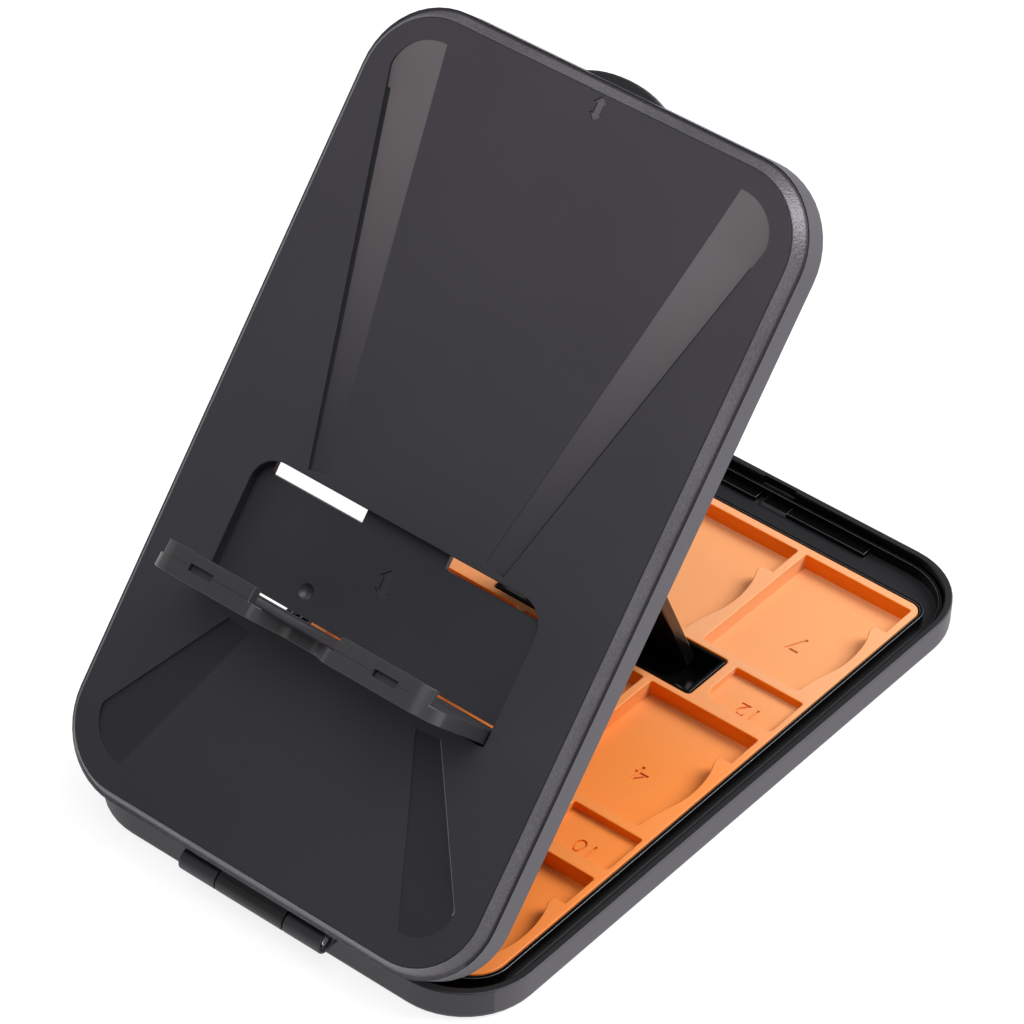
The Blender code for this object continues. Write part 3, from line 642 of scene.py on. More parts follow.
    def build(self, name: str, place: Matrix, materials: Iterable[bpy.types.Material]) -> bpy.types.Object:
        """Turn the form into a finished object in metres.

        Args:
            name: The object's name.
            place: Takes the form's millimetres to its place in the world.
            materials: Its finishes, in the order of the painted faces.

        Returns:
            The object, at the origin.
        """
        bmesh.ops.recalc_face_normals(self.bm, faces=self.bm.faces)
        if self.bm.calc_volume(signed=True) < 0.0:
            bmesh.ops.reverse_faces(self.bm, faces=self.bm.faces)
        open_edges = sum(1 for edge in self.bm.edges if not edge.is_manifold)
        mesh = bpy.data.meshes.new(name)
        self.bm.to_mesh(mesh)
        self.bm.free()
        mesh.transform(place)
        mesh.shade_smooth()
        mesh.set_sharp_from_angle(angle=math.radians(SHARP_ANGLE))
        for material in materials:
            mesh.materials.append(material)
        piece = bpy.data.objects.new(name, mesh)
        bpy.context.scene.collection.objects.link(piece)
        weighting = piece.modifiers.new("weighted normals", "WEIGHTED_NORMAL")
        weighting.keep_sharp = True
        log.info("%s: %d faces, %d open edges", name, len(mesh.polygons), open_edges)
        return piece


def joint_named(joint_name: str) -> dict[str, object]:
    """A joint of the frame."""
    return next(joint for joint in frame["joints"] if joint["name"] == joint_name)


def hinge_place(joint_name: str, angle: float) -> Matrix:
    """The placement of a piece shaped around a joint.

    Args:
        joint_name: The joint's name in the record.
        angle: How far the piece is turned about X at rest, in degrees.

    Returns:
        A matrix from millimetres to metres in the world.
    """
    spot = joint_named(joint_name)["pos_m"]
    return Matrix.Translation(spot) @ Matrix.Rotation(math.radians(angle), 4, "X") @ Matrix.Scale(MM, 4)


def joint_range(joint_name: str) -> Pair:
    """A joint's limits in degrees."""
    low, high = joint_named(joint_name)["range_deg"]
    return low, high


@dataclass(frozen=True)
class Case:
    """Sizes that the base, the lid and what lies in them share."""

    near: float = 2.6
    corner: float = 15.0
    wall: float = 1.6
    gap: float = 0.3
    sink: float = 0.4
    base_height: float = 6.3
    base_floor: float = 1.2
    lid_height: float = 7.8
    lid_top: float = 1.2
    axis_above_rim: float = 0.4
    knuckle_radius: float = 2.2
    knuckle_bore: float = 1.1
    middle_knuckle: float = 14.9
    outer_knuckle: float = 8.05
    knuckle_web: float = 1.9
    tray_top: float = 5.5
    window_half: float = 31.0
    window_near: float = 43.65
    window_far: float = 68.8
    window_near_corner: float = 0.5
    window_far_corner: float = 5.1
    well_half: float = 22.4
    well_near: float = 91.3
    well_far: float = 102.8
    well_corner: float = 0.6
    tray_half: float = 40.7
    tray_near: float = 9.6
    tray_far: float = 138.2
    tray_near_corner: float = 7.0
    tray_far_corner: float = 2.5
    flap_barrel: float = 2.2
    flap_from_window: float = 2.4
    flap_clearance: float = 0.4
    strut_y: float = 99.2
    strut_z: float = 0.9

    @property
    def half_width(self) -> float:
        """Half the case's width."""
        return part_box("base_shell")[1].x / MM

    @property
    def far(self) -> float:
        """The latch end."""
        return (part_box("base_shell")[1].y - joint_named("lid_hinge")["pos_m"][1]) / MM

    @property
    def axis_z(self) -> float:
        """The hinge axis above the table."""
        return self.base_height + self.axis_above_rim

    @property
    def lid_rim(self) -> float:
        """The lid's rim from the hinge axis, with the case shut."""
        return self.gap - self.axis_above_rim

    @property
    def lid_face(self) -> float:
        """The lid's face from the hinge axis, with the case shut."""
        return self.lid_rim + self.lid_height

    @property
    def lid_ceiling(self) -> float:
        """The underside of the lid's face."""
        return self.lid_face - self.lid_top

    @property
    def flap_y(self) -> float:
        """The flap's pivot from the hinge axis."""
        return self.window_near + self.flap_from_window

    @property
    def flap_half(self) -> float:
        """Half the flap's width."""
        return self.window_half - self.flap_clearance

    @property
    def flap_length(self) -> float:
        """From the flap's pivot to its free edge."""
        return self.window_far - self.flap_clearance - self.flap_y

    def outwards(self, spot: Vector, normal: Vector) -> float:
        """How far a face looks away from the case's middle line."""
        return normal.x * spot.x + normal.y * (spot.y - self.far / 2)

    def plate(self, half: float, ends: Pair, cuts: Pair, grow: float,
              levels: Pair) -> Shape:
        """A plate about the middle line, with rounded corners.

        Args:
            half: Half its width.
            ends: Its near and far end.
            cuts: Where the rounding of the near and of the far corners starts.
            grow: How far the outline is moved outwards.
            levels: Its lower and upper level.

        Returns:
            The plate.
        """
        near, far = ends[0] - grow, ends[1] + grow
        x = half + grow
        near_cut, far_cut = (cut + grow for cut in cuts)
        return Shape.plate([(-x, near, near_cut), (x, near, near_cut), (x, far, far_cut), (-x, far, far_cut)],
                           *levels)

    def slab(self, inset: float, low: float, high: float) -> Shape:
        """A plate with the case's outline, moved inwards by inset."""
        return self.plate(self.half_width, (self.near, self.far), (self.corner, self.corner), -inset,
                          (low, high))

    def window(self, grow: float, low: float, high: float) -> Shape:
        """A plate with the window's outline, moved outwards by grow."""
        return self.plate(self.window_half, (self.window_near, self.window_far),
                          (self.window_near_corner, self.window_far_corner), grow, (low, high))

    def well(self, grow: float, low: float, high: float) -> Shape:
        """A plate with the outline of the well for the strut's foot, moved outwards by grow."""
        return self.plate(self.well_half, (self.well_near, self.well_far),
                          (self.well_corner, self.well_corner), grow, (low, high))

    def tray(self, grow: float, low: float, high: float) -> Shape:
        """A plate with the card tray's outline, moved outwards by grow."""
        return self.plate(self.tray_half, (self.tray_near, self.tray_far),
                          (self.tray_near_corner, self.tray_far_corner), grow, (low, high))


@dataclass
class Piece:
    """A visible piece of the case, and the node that it stands for."""

    case: Case
    name: str
    node: str
    body: Body
    slot: Slot
    finishes: tuple[Finish, ...]

    def shape(self) -> Shape:
        """Model the piece in its own place."""
        raise NotImplementedError

    def place(self) -> Matrix:
        """Take the piece to its body's place."""
        lid_angle = LID_LIMIT_ANGLE - joint_range("lid_hinge")[1]
        if self.body is Body.LID:
            return hinge_place("lid_hinge", lid_angle)
        if self.body is Body.FLAP:
            return hinge_place("flap_hinge", lid_angle - joint_range("flap_hinge")[0])
        if self.body is Body.STRUT:
            return hinge_place("strut_fold", lid_angle - joint_range("strut_fold")[0])
        to_hinge = Vector(hinge_place("lid_hinge", 0.0).translation)
        to_hinge.z = 0.0
        return Matrix.Translation(to_hinge) @ Matrix.Scale(MM, 4)

    def paint(self, form: Shape, finish: Finish, where: FaceTest) -> Shape:
        """Give faces of the form another of the piece's finishes.

        Args:
            form: The form.
            finish: The finish.
            where: Says from a face's middle and normal whether it is one of them.

        Returns:
            The form.
        """
        return form.paint(self.finishes.index(finish), where)

    def build(self) -> bpy.types.Object:
        """Model, place and dress the piece, tie it to its body and hide the node that it stands for.

        Returns:
            The finished piece.
        """
        piece = self.shape().build(self.name, self.place(), [finish.make() for finish in self.finishes])
        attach(piece, self.body.value)
        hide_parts(self.node)
        return piece


@dataclass
class BaseTub(Piece):
    """The outer shell of the base, with two hinge knuckles and the well's wall."""

    underside_fillet: float = 1.5
    rim_rounding: float = 0.3
    well_wall: float = 0.7
    counterbore: float = 1.65
    counterbore_depth: float = 0.9
    latch_half: float = 3.7
    latch_depth: float = 0.6
    latch_drop: float = 1.6
    knuckle_rounding: float = 0.2
    well_rounding: float = 0.15

    def shape(self) -> Shape:
        """Model the tub in its own place."""
        case = self.case
        tub = case.slab(0.0, 0.0, case.base_height)
        tub.step(case.wall, 0.0).push(case.base_floor - case.base_height)
        tub.round_edges(self.underside_fillet, lambda spot: spot.z < TOUCH, 6)
        tub.round_edges(self.rim_rounding, lambda spot: spot.z > case.base_height - TOUCH)
        knuckle, outer = self.knuckle()
        tub.combine(Cut.JOIN, [knuckle.twin(), knuckle])
        reach = outer + case.sink
        tub.combine(Cut.AWAY, [Shape.rod(case.knuckle_bore, (-reach, reach), 0.0, case.axis_z)])

        well = case.well(0.0, case.base_floor - case.sink, case.tray_top)
        well.combine(Cut.AWAY, [case.well(-self.well_wall, 0.0, case.base_height)])
        well.round_edges(self.well_rounding, lambda spot: spot.z > case.tray_top - TOUCH)
        tub.combine(Cut.JOIN, [well])
        wall_face = case.far - case.wall
        tub.combine(Cut.AWAY, [Shape.box(
            (-self.latch_half, self.latch_half), (wall_face - case.sink, wall_face + self.latch_depth),
            (case.base_height - self.latch_drop, case.base_height + case.sink))])
        return self.painted(tub)

    def knuckle(self) -> tuple[Shape, float]:
        """The hinge knuckle at +X, and the place of its outer end."""
        case = self.case
        inner = case.middle_knuckle / 2 + case.gap
        outer = inner + case.outer_knuckle
        wall = case.near + case.sink
        web_low, web_high = case.axis_z - case.knuckle_web, case.base_height - case.gap
        knuckle = Shape.rod(case.knuckle_radius, (inner, outer), 0.0, case.axis_z)
        knuckle.combine(Cut.JOIN, [Shape.box((inner, outer), (0.0, wall), (web_low, web_high))])
        recess = (outer - self.counterbore_depth, outer + case.sink)
        knuckle.combine(Cut.AWAY, [Shape.rod(self.counterbore, recess, 0.0, case.axis_z)])
        knuckle.round_edges(self.knuckle_rounding, lambda spot: spot.y < case.near - MARGIN)
        return knuckle, outer

    def painted(self, tub: Shape) -> Shape:
        """Give the sides a painted reflection, and the inside and the rim their own finishes.

        Args:
            tub: The finished form.

        Returns:
            The form itself.
        """
        case = self.case
        # Painted reflection: the outer sides take a lighter grey.
        self.paint(tub, SIDE_REFLECTION_GREY, lambda spot, normal: abs(normal.z) < 0.5 and normal.y > -0.5
                   and spot.y > case.near - MARGIN and case.outwards(spot, normal) > OUTER)
        self.paint(tub, GLOSS_BLACK, lambda spot, normal: spot.z > case.base_floor and spot.y > case.near
                   and case.outwards(spot, normal) < -0.5)
        self.paint(tub, SATIN_BLACK_AND_SHADE, lambda spot, normal: normal.z > UPWARDS
                   and spot.z > case.base_height - TOUCH)
        return self.paint(tub, GLOSS_BLACK, lambda spot, _: abs(spot.x) < case.well_half + MARGIN
                          and case.well_near - MARGIN < spot.y < case.well_far + MARGIN
                          and spot.z > case.base_floor - 2 * MARGIN)


@dataclass
class TrayLiner(Piece):
    """The glossy trough round the tray, with ribs and a catch block."""

    wall: float = 0.6
    floor: float = 0.8
    step_down: float = 1.6
    frame_wall: float = 0.7
    ribs: tuple[Pair, ...] = ((-22.0, -3.2), (4.1, 22.0))
    rib_width: float = 2.0
    rib_height: float = 1.0
    catch: Pair = (-1.7, 4.0)
    catch_length: float = 2.1
    catch_height: float = 0.8
    edge_rounding: float = 0.12

    def shape(self) -> Shape:
        """Model the liner in its own place."""
        case = self.case
        seat = case.base_floor + case.gap
        trough = seat + self.floor
        outer = case.wall + case.gap
        top = case.base_height - self.step_down
        liner = case.slab(outer, seat, top)
        liner.step(self.wall, 0.0).push(trough - top)
        liner.combine(Cut.JOIN, [case.tray(case.gap + self.frame_wall, trough - case.sink, case.tray_top)])
        liner.combine(Cut.AWAY, [case.tray(case.gap, 0.0, case.base_height)])
        wall_face = case.far - outer - self.wall
        low = trough - case.sink
        end = wall_face + case.sink
        depth, levels = (wall_face - self.rib_width, end), (low, trough + self.rib_height)
        ribs = [Shape.box(x, depth, levels) for x in self.ribs]
        catch_face = wall_face - self.catch_length
        catch = Shape.box(self.catch, (catch_face, end), (low, trough + self.catch_height))
        liner.combine(Cut.JOIN, [*ribs, catch])
        raised = trough + 0.5
        liner.round_edges(self.edge_rounding, lambda spot: spot.z > raised)
        self.paint(liner, SATIN_BLACK_AND_SHADE, lambda spot, normal: normal.z > UPWARDS and spot.z < trough + MARGIN)
        # Painted light on the catch block's front face.
        self.paint(liner, PAINTED_LIGHT_GREY, lambda spot, normal: normal.y < -UPWARDS
                   and abs(spot.y - catch_face) < 0.05 and self.catch[0] < spot.x < self.catch[1])
        # Painted highlight on the rounded edges of the raised parts.
        return self.paint(liner, EDGE_HIGHLIGHT_BLACK, lambda spot, normal: spot.z > raised and 0.15 < normal.z < 0.985)


@dataclass
class CardInsert(Piece):
    """The orange tray: three rows of card slots, four memory card slots and numbers in all."""

    first_row: float = 11.4
    pitch: float = 46.75
    rows: int = 3
    slot_floor: float = 0.7
    slot_length: float = 31.4
    side_slot: Pair = (15.3, 36.8)
    centre_half: float = 11.1
    scoop: Triple = (3.0, 14.5, 21.8)
    scoop_reach: float = 3.3
    scoop_rounding: Pair = (4.0, 6.5)
    head_start: float = 23.5
    head_extra: float = 2.5
    corner: float = 0.5
    memory_x: Pair = (24.6, 39.6)
    memory_above_row: float = 3.2
    memory_length: float = 9.8
    memory_depth: float = 1.7
    memory_corner: float = 3.0
    edge_rounding: float = 0.25
    numeral_height: float = 4.5
    numeral_depth: float = 0.4
    numeral_x: float = 27.15
    centre_numeral_x: float = -4.5
    numeral_above_row: float = 13.2
    small_numeral_height: float = 3.5
    small_numeral_x: float = 32.1
    small_numeral_above: float = 2.9

    def scooped_edge(self, narrow: float) -> list[Corner]:
        """The edge of a slot at +X: a straight foot, a finger scoop and a wider head."""
        start, middle, end = self.scoop
        foot_cut, cut = self.scoop_rounding
        head = narrow + self.head_extra
        return [
            (narrow, 0.0, self.corner),
            (narrow, start, foot_cut),
            (narrow + self.scoop_reach, middle, cut),
            (narrow, end, 0.0),
            (narrow, self.head_start, 0.0),
            (head, self.head_start, 0.0),
            (head, self.slot_length, self.corner),
        ]

    def slots(self, row: float, low: float, high: float) -> list[Shape]:
        """The three card slots of a row, as blocks to cut away."""
        right = self.scooped_edge(self.centre_half)
        left = [(-x, y, cut) for x, y, cut in reversed(right)]
        inner = self.side_slot[0]
        side = [(inner, 0.0, self.corner)] + self.scooped_edge(self.side_slot[1])
        side.append((inner, self.slot_length, self.corner))
        to_row = Matrix.Translation((0.0, row, 0.0))
        beside = Shape.plate(side, low, high).moved(to_row)
        return [Shape.plate(right + left, low, high).moved(to_row), beside.twin(), beside]

    def shape(self) -> Shape:
        """Model the insert in its own place."""
        case = self.case
        seat = case.base_floor + case.gap
        above = case.base_height
        floor = seat + self.slot_floor
        tray = case.tray(0.0, seat, case.tray_top)
        cuts = [case.well(case.gap, 0.0, above)]
        numerals = []
        engraved = (floor - self.numeral_depth, floor + self.numeral_depth)
        for number in range(self.rows):
            row = self.first_row + number * self.pitch
            cuts += self.slots(row, floor, above)
            for column, x in enumerate((self.numeral_x, self.centre_numeral_x, -self.numeral_x)):
                spot = (x, row + self.numeral_above_row)
                digit = str(number * self.rows + column + 1)
                numerals.append(Shape.numeral(digit, spot, self.numeral_height, engraved))
        memory_floor = case.tray_top - self.memory_depth
        engraved = (memory_floor - self.numeral_depth, memory_floor + self.numeral_depth)
        for number in range(self.rows - 1):
            near = self.first_row + number * self.pitch + self.slot_length + self.memory_above_row
            far = near + self.memory_length
            inner, outer = self.memory_x
            corners = [(inner, near, self.memory_corner), (outer, near, self.corner),
                       (outer, far, self.corner), (inner, far, self.corner)]
            memory = Shape.plate(corners, memory_floor, above)
            cuts += [memory.twin(), memory]
            for side, x in enumerate((self.small_numeral_x, -self.small_numeral_x)):
                spot = (x, near + self.small_numeral_above)
                text = str(self.rows * self.rows + number * 2 + side + 1)
                numerals.append(Shape.numeral(text, spot, self.small_numeral_height, engraved))
        tray.combine(Cut.AWAY, cuts)
        tray.round_edges(self.edge_rounding, lambda spot: spot.z > case.tray_top - TOUCH)
        tray.combine(Cut.AWAY, numerals).close_seams()
        # Painted light on the tray's top faces.
        self.paint(tray, LIT_ORANGE, lambda spot, _: spot.z > case.tray_top - TOUCH)
        # Painted shade on the slot walls that face the hinge end.
        return self.paint(tray, SHADED_ORANGE, lambda spot, normal: normal.y < -0.5
                          and floor + MARGIN < spot.z < case.tray_top)


@dataclass
class HingePin(Piece):
    """The steel pin through the knuckles."""

    radius: float = 0.8

    def shape(self) -> Shape:
        """Model the pin in its own place."""
        half = self.case.middle_knuckle / 2 + self.case.outer_knuckle
        return Shape.rod(self.radius, (-half, half), 0.0, self.case.axis_z, 32).round_edges(0.2)


def double_arrow(x: float, near: float, far: float, low: float, high: float) -> Shape:
    """A small arrow with a head at both ends.

    Args:
        x: Its middle line.
        near: Its near tip.
        far: Its far tip.
        low: Level of the lower face.
        high: Level of the upper face.

    Returns:
        The arrow as a block.
    """
    length = far - near
    wing, shaft, head = 0.3 * length, 0.15 * length, 0.3 * length
    right = [(0.0, near, 0.0), (wing, near + head, 0.0), (shaft, near + head, 0.0),
             (shaft, far - head, 0.0), (wing, far - head, 0.0), (0.0, far, 0.0)]
    left = [(-a, b, cut) for a, b, cut in reversed(right[1:-1])]
    return Shape.plate([(x + a, b, cut) for a, b, cut in right + left], low, high)


@dataclass
class Flute:
    """A shallow scoop in the lid's face, deepest along its outer edge.

    It runs between two straight edges and ends wide, in an arc about the middle of the lid's
    rounded corner. Each edge is its narrow end's x and y and then its x at the wide end's y.
    """

    outer: Triple
    inner: Triple
    wide_y: float
    corner: Pair
    face: float
    depth_narrow: float = 0.35
    depth_wide: float = 0.75
    lip: float = 0.12
    thin_lip: float = 0.02
    line: float = 0.6
    line_end: float = 0.85
    crowding: float = 1.7
    fade: float = 0.16
    steps_across: int = 10
    steps_along: int = 56

    def shape(self) -> Shape:
        """Lay a grid over the scoop's floor and raise it above the face.

        Returns:
            The block to cut away.
        """
        shape = Shape()
        bm = shape.bm
        bmesh.ops.create_grid(bm, x_segments=self.steps_across, y_segments=self.steps_along, size=0.5)
        for vert in bm.verts:
            vert.co = self.floor(vert.co.x + 0.5, vert.co.y + 0.5)
        extruded = bmesh.ops.extrude_face_region(bm, geom=bm.faces[:], use_keep_orig=True)["geom"]
        for item in extruded:
            if isinstance(item, bmesh.types.BMVert):
                item.co.z = self.face + 1.0
        bmesh.ops.recalc_face_normals(bm, faces=bm.faces)
        return shape

    def share_along(self, y: float) -> float:
        """How far a place is from the narrow end, from 0 to 1 at the wide one."""
        return (y - self.outer[1]) / (self.wide_y - self.outer[1])

    def outer_x(self, y: float) -> float:
        """The outer edge, which turns in round the lid's corner at the wide end."""
        middle_x, middle_y = self.corner
        narrow, _, wide = self.outer
        if (y - middle_y) * (self.wide_y - middle_y) <= 0.0:
            return narrow + (wide - narrow) * self.share_along(y)
        beyond = (y - middle_y) / (self.wide_y - middle_y)
        reach = narrow + (wide - narrow) * self.share_along(middle_y) - middle_x
        return middle_x + 0.05 + reach * math.sqrt(max(0.0, 1.0 - beyond * beyond))

    def floor(self, across: float, step: float) -> Vector:
        """A point on the floor.

        Args:
            across: From 0 at the outer edge to 1 at the inner one.
            step: From 0 at the narrow end to 1 at the wide one, where the rows crowd.

        Returns:
            The point.
        """
        along = 1.0 - (1.0 - step) ** self.crowding
        start = self.outer[1] + (self.inner[1] - self.outer[1]) * across
        y = start + (self.wide_y - start) * along
        outer = self.outer_x(y)
        inner = min(outer - 0.02, self.inner[0] + (self.inner[2] - self.inner[0]) * along)
        width = outer - inner
        first = 1.0 / self.steps_across
        line = min(first, self.line / width)
        if across <= first:
            share = across / first * line
        else:
            share = line + (across - first) / (1.0 - first) * (1.0 - line)
        depth = self.depth_narrow + (self.depth_wide - self.depth_narrow) * along
        rise = min(1.0, (1.0 - along) / self.fade)
        rise *= rise * (3.0 - 2.0 * rise)
        lip = self.thin_lip + (self.lip - self.thin_lip) * rise
        return Vector((outer - width * share, y, self.face - lip - depth * rise * (1.0 - share * share)))

    def on_line(self, spot: Vector) -> bool:
        """Whether a place on the floor is on the narrow strip along the outer edge, where a painted shadow
        line runs on the upper flutes and a painted highlight line on the lower one.
        """
        if not 0.0 < self.share_along(spot.y) < self.line_end:
            return False
        return 0.0 < self.outer_x(spot.y) - abs(spot.x) < self.line * 0.9


@dataclass
class LidCover(Piece):
    """The outer lid: banded edge, window, four flutes, thumb tab, latch tongue and knuckle."""

    band: Pair = (1.8, 2.35)
    inner_chamfer: float = 1.4
    line_width: float = 0.6
    line_depth: float = 0.16
    plain_corner: float = 8.0
    groove: Pair = (0.4, 0.18)
    rim_rounding: float = 0.3
    window_rounding: float = 0.2
    knuckle_rounding: float = 0.2
    tab_half: float = 8.0
    tab_reach: float = 1.6
    tab_levels: Pair = (0.3, 1.9)
    tab_rounding: float = 0.3
    latch_half: float = 3.4
    latch_thickness: float = 0.9
    latch_drop: float = 1.6
    latch_root: Pair = (0.6, 2.4)
    latch_rounding: Pair = (0.3, 0.2)
    arrow: Triple = (0.5, 143.4, 147.9)
    arrow_depth: float = 0.35
    arrow_reach: float = 3.0
    flutes_from: float = 12.0
    border: float = 4.0
    deepest: float = 1.0
    skin: float = 0.03

    def flutes(self) -> tuple[Flute, Flute]:
        """The upper and the lower flute at +X."""
        case = self.case
        face, middle = case.lid_face, case.half_width - case.corner
        top, bottom = case.far - case.corner + 1.6, case.near + case.corner
        upper = Flute((21.2, 69.9, 41.4), (17.1, 70.9, 30.8), 144.2, (middle, top), face)
        lower = Flute((23.3, 41.3, 44.2), (18.2, 40.8, 31.0), 9.8, (middle, bottom), face, depth_narrow=0.3,
                      depth_wide=0.4, line=0.45, line_end=0.78, fade=0.3)
        return upper, lower

    def shape(self) -> Shape:
        """Model the cover with the case shut."""
        case = self.case
        wide, high = self.band
        face, rim = case.lid_face, case.lid_rim
        cover = case.slab(0.0, rim, face - high)
        cover.step(self.line_width * 0.5, -self.line_depth).step(self.line_width * 0.5, self.line_depth)
        cover.step(wide - self.line_width, high)
        width, depth = self.groove
        cover.step(width * 0.5, -depth).step(width * 0.25, 0.0).step(width * 0.25, depth)
        cover.work_on(Vector((0.0, 0.0, -1.0))).step(case.wall, 0.0)
        cover.push(case.lid_ceiling - self.inner_chamfer - rim).step(self.inner_chamfer, -self.inner_chamfer)
        cover.round_edges(self.rim_rounding, lambda spot: spot.z < rim + TOUCH)

        out = self.tab_reach / CORNER_BULGE
        half, end = self.tab_half, case.far
        root = end - case.wall / 2
        lens = [(-half, root, 0.0), (half, root, 0.0), (half, end, 0.0),
                (0.0, end + out, math.hypot(half, out) * FULL_CUT), (-half, end, 0.0)]
        tab = Shape.plate(lens, *self.tab_levels)
        tab.round_edges(self.tab_rounding, lambda spot: spot.y > end + MARGIN)
        wall_face = end - case.wall
        inner, outer, buried = wall_face - self.latch_thickness, wall_face - case.gap, wall_face + case.sink
        tip = rim - self.latch_drop
        low, high = (rim + level for level in self.latch_root)
        inner_cut, outer_cut = self.latch_rounding
        tongue = Shape.bar([(inner, tip, inner_cut), (outer, tip, outer_cut), (outer, low, 0.0),
                            (buried, low, 0.0), (buried, high, 0.0), (inner, high, 0.0)],
                           (-self.latch_half, self.latch_half))
        knuckle_half = case.middle_knuckle / 2
        width = (-knuckle_half, knuckle_half)
        knuckle = Shape.rod(case.knuckle_radius, width, 0.0, 0.0)
        knuckle.combine(Cut.JOIN, [Shape.box(width, (0.0, case.near + case.sink), (0.0, case.knuckle_web))])
        knuckle.round_edges(self.knuckle_rounding, lambda spot: spot.y < case.near - MARGIN)
        cover.combine(Cut.JOIN, [tab, tongue, knuckle])
        reach = knuckle_half + case.sink
        cover.combine(Cut.AWAY, [Shape.rod(case.knuckle_bore, (-reach, reach), 0.0, 0.0)])

        cover.combine(Cut.AWAY, [case.window(0.0, case.lid_ceiling - case.sink, face + case.sink)])
        cover.round_edges(self.window_rounding, lambda spot: spot.z > face - TOUCH
                          and abs(spot.x) < case.window_half + MARGIN
                          and case.window_near - MARGIN < spot.y < case.window_far + MARGIN)
        for flute in self.flutes():
            scoop = flute.shape()
            cover.combine(Cut.AWAY, [scoop.twin(), scoop])
        x, near, far = self.arrow
        cover.combine(Cut.AWAY, [double_arrow(x, near, far, face - self.arrow_depth, face + case.sink)])
        return self.painted(cover)

    def painted(self, cover: Shape) -> Shape:
        """Give the band, the flutes and the knuckle their own finishes, and paint light and shade:
        reflections on the band and the sides, sheen on the flutes and the arrow, shade on the inner walls,
        the upper flutes' edges and the thumb tab, and highlights along the groove and the lower flute's edge.

        Args:
            cover: The finished form.

        Returns:
            The form itself.
        """
        case = self.case
        face = case.lid_face
        wide, high = self.band
        run = wide - self.line_width
        slope = run / math.hypot(run, high)
        # The band's own textured finish, which carries a painted reflection towards the hinge end.
        self.paint(cover, BAND_GREY, lambda spot, normal: spot.z > face - high
                   and abs(normal.z - slope) < 0.03)
        # Painted reflection: the fine line near the hinge end takes the band's lighter colour.
        self.paint(cover, BAND_GREY, lambda spot, normal: abs(spot.z - face + high) < self.line_depth
                   and normal.z > 0.5 and case.near - MARGIN < spot.y < case.near + self.plain_corner)
        # Painted sheen on the flute floors.
        self.paint(cover, FLUTE_GREY, lambda spot, normal: normal.z > UPWARDS
                   and abs(spot.x) > self.flutes_from and face - self.deepest < spot.z < face - TOUCH
                   and case.near + self.border < spot.y < case.far - self.border)
        # The arrow's floor takes the flutes' painted sheen.
        self.paint(cover, FLUTE_GREY, lambda spot, normal: normal.z > UPWARDS
                   and abs(spot.x) < self.arrow_reach and abs(spot.z - face + self.arrow_depth) < TOUCH)
        # Painted reflection: the outer sides take a lighter grey.
        self.paint(cover, SIDE_REFLECTION_GREY, lambda spot, normal: abs(normal.z) < 0.2 and spot.z < face - high + TOUCH
                   and case.outwards(spot, normal) > OUTER and spot.y > case.near - MARGIN)
        sunken = face - self.skin
        # Painted shade: the walls of the window, the flutes and the arrow are laid black.
        self.paint(cover, SATIN_BLACK_AND_SHADE, lambda spot, normal: abs(normal.z) < 0.3
                   and face - case.lid_top - MARGIN < spot.z < sunken and abs(spot.x) < case.half_width - 5.0
                   and case.near + self.border < spot.y < case.far - 2.0)
        upper, lower = self.flutes()
        # Painted shadow line along the upper flutes' outer edge.
        self.paint(cover, SATIN_BLACK_AND_SHADE, lambda spot, normal: normal.z > 0.7 and spot.z < sunken
                   and upper.on_line(spot))
        # Painted highlight line along the right lower flute's outer edge.
        self.paint(cover, PAINTED_LIGHT_GREY, lambda spot, normal: normal.z > 0.7 and spot.z < sunken
                   and spot.x > 0.0 and lower.on_line(spot))
        tab_top = self.tab_levels[1]
        # The thumb tab is laid black: partly satin black plastic, partly painted shade.
        self.paint(cover, SATIN_BLACK_AND_SHADE, lambda spot, _: spot.y > case.far + 0.05 and spot.z < tab_top + TOUCH)
        width, depth = self.groove
        flank = math.cos(math.atan2(depth, width * 0.5))
        # Painted highlight on the groove's inner flank.
        self.paint(cover, PAINTED_LIGHT_GREY, lambda spot, normal: abs(normal.z - flank) < 0.02
                   and spot.z > face - depth and case.outwards(spot, normal) < 0.0)
        return self.paint(cover, SATIN_BLACK_AND_SHADE, lambda spot, _: spot.y < case.near - 2 * MARGIN
                          and abs(spot.x) < case.middle_knuckle / 2 + MARGIN)


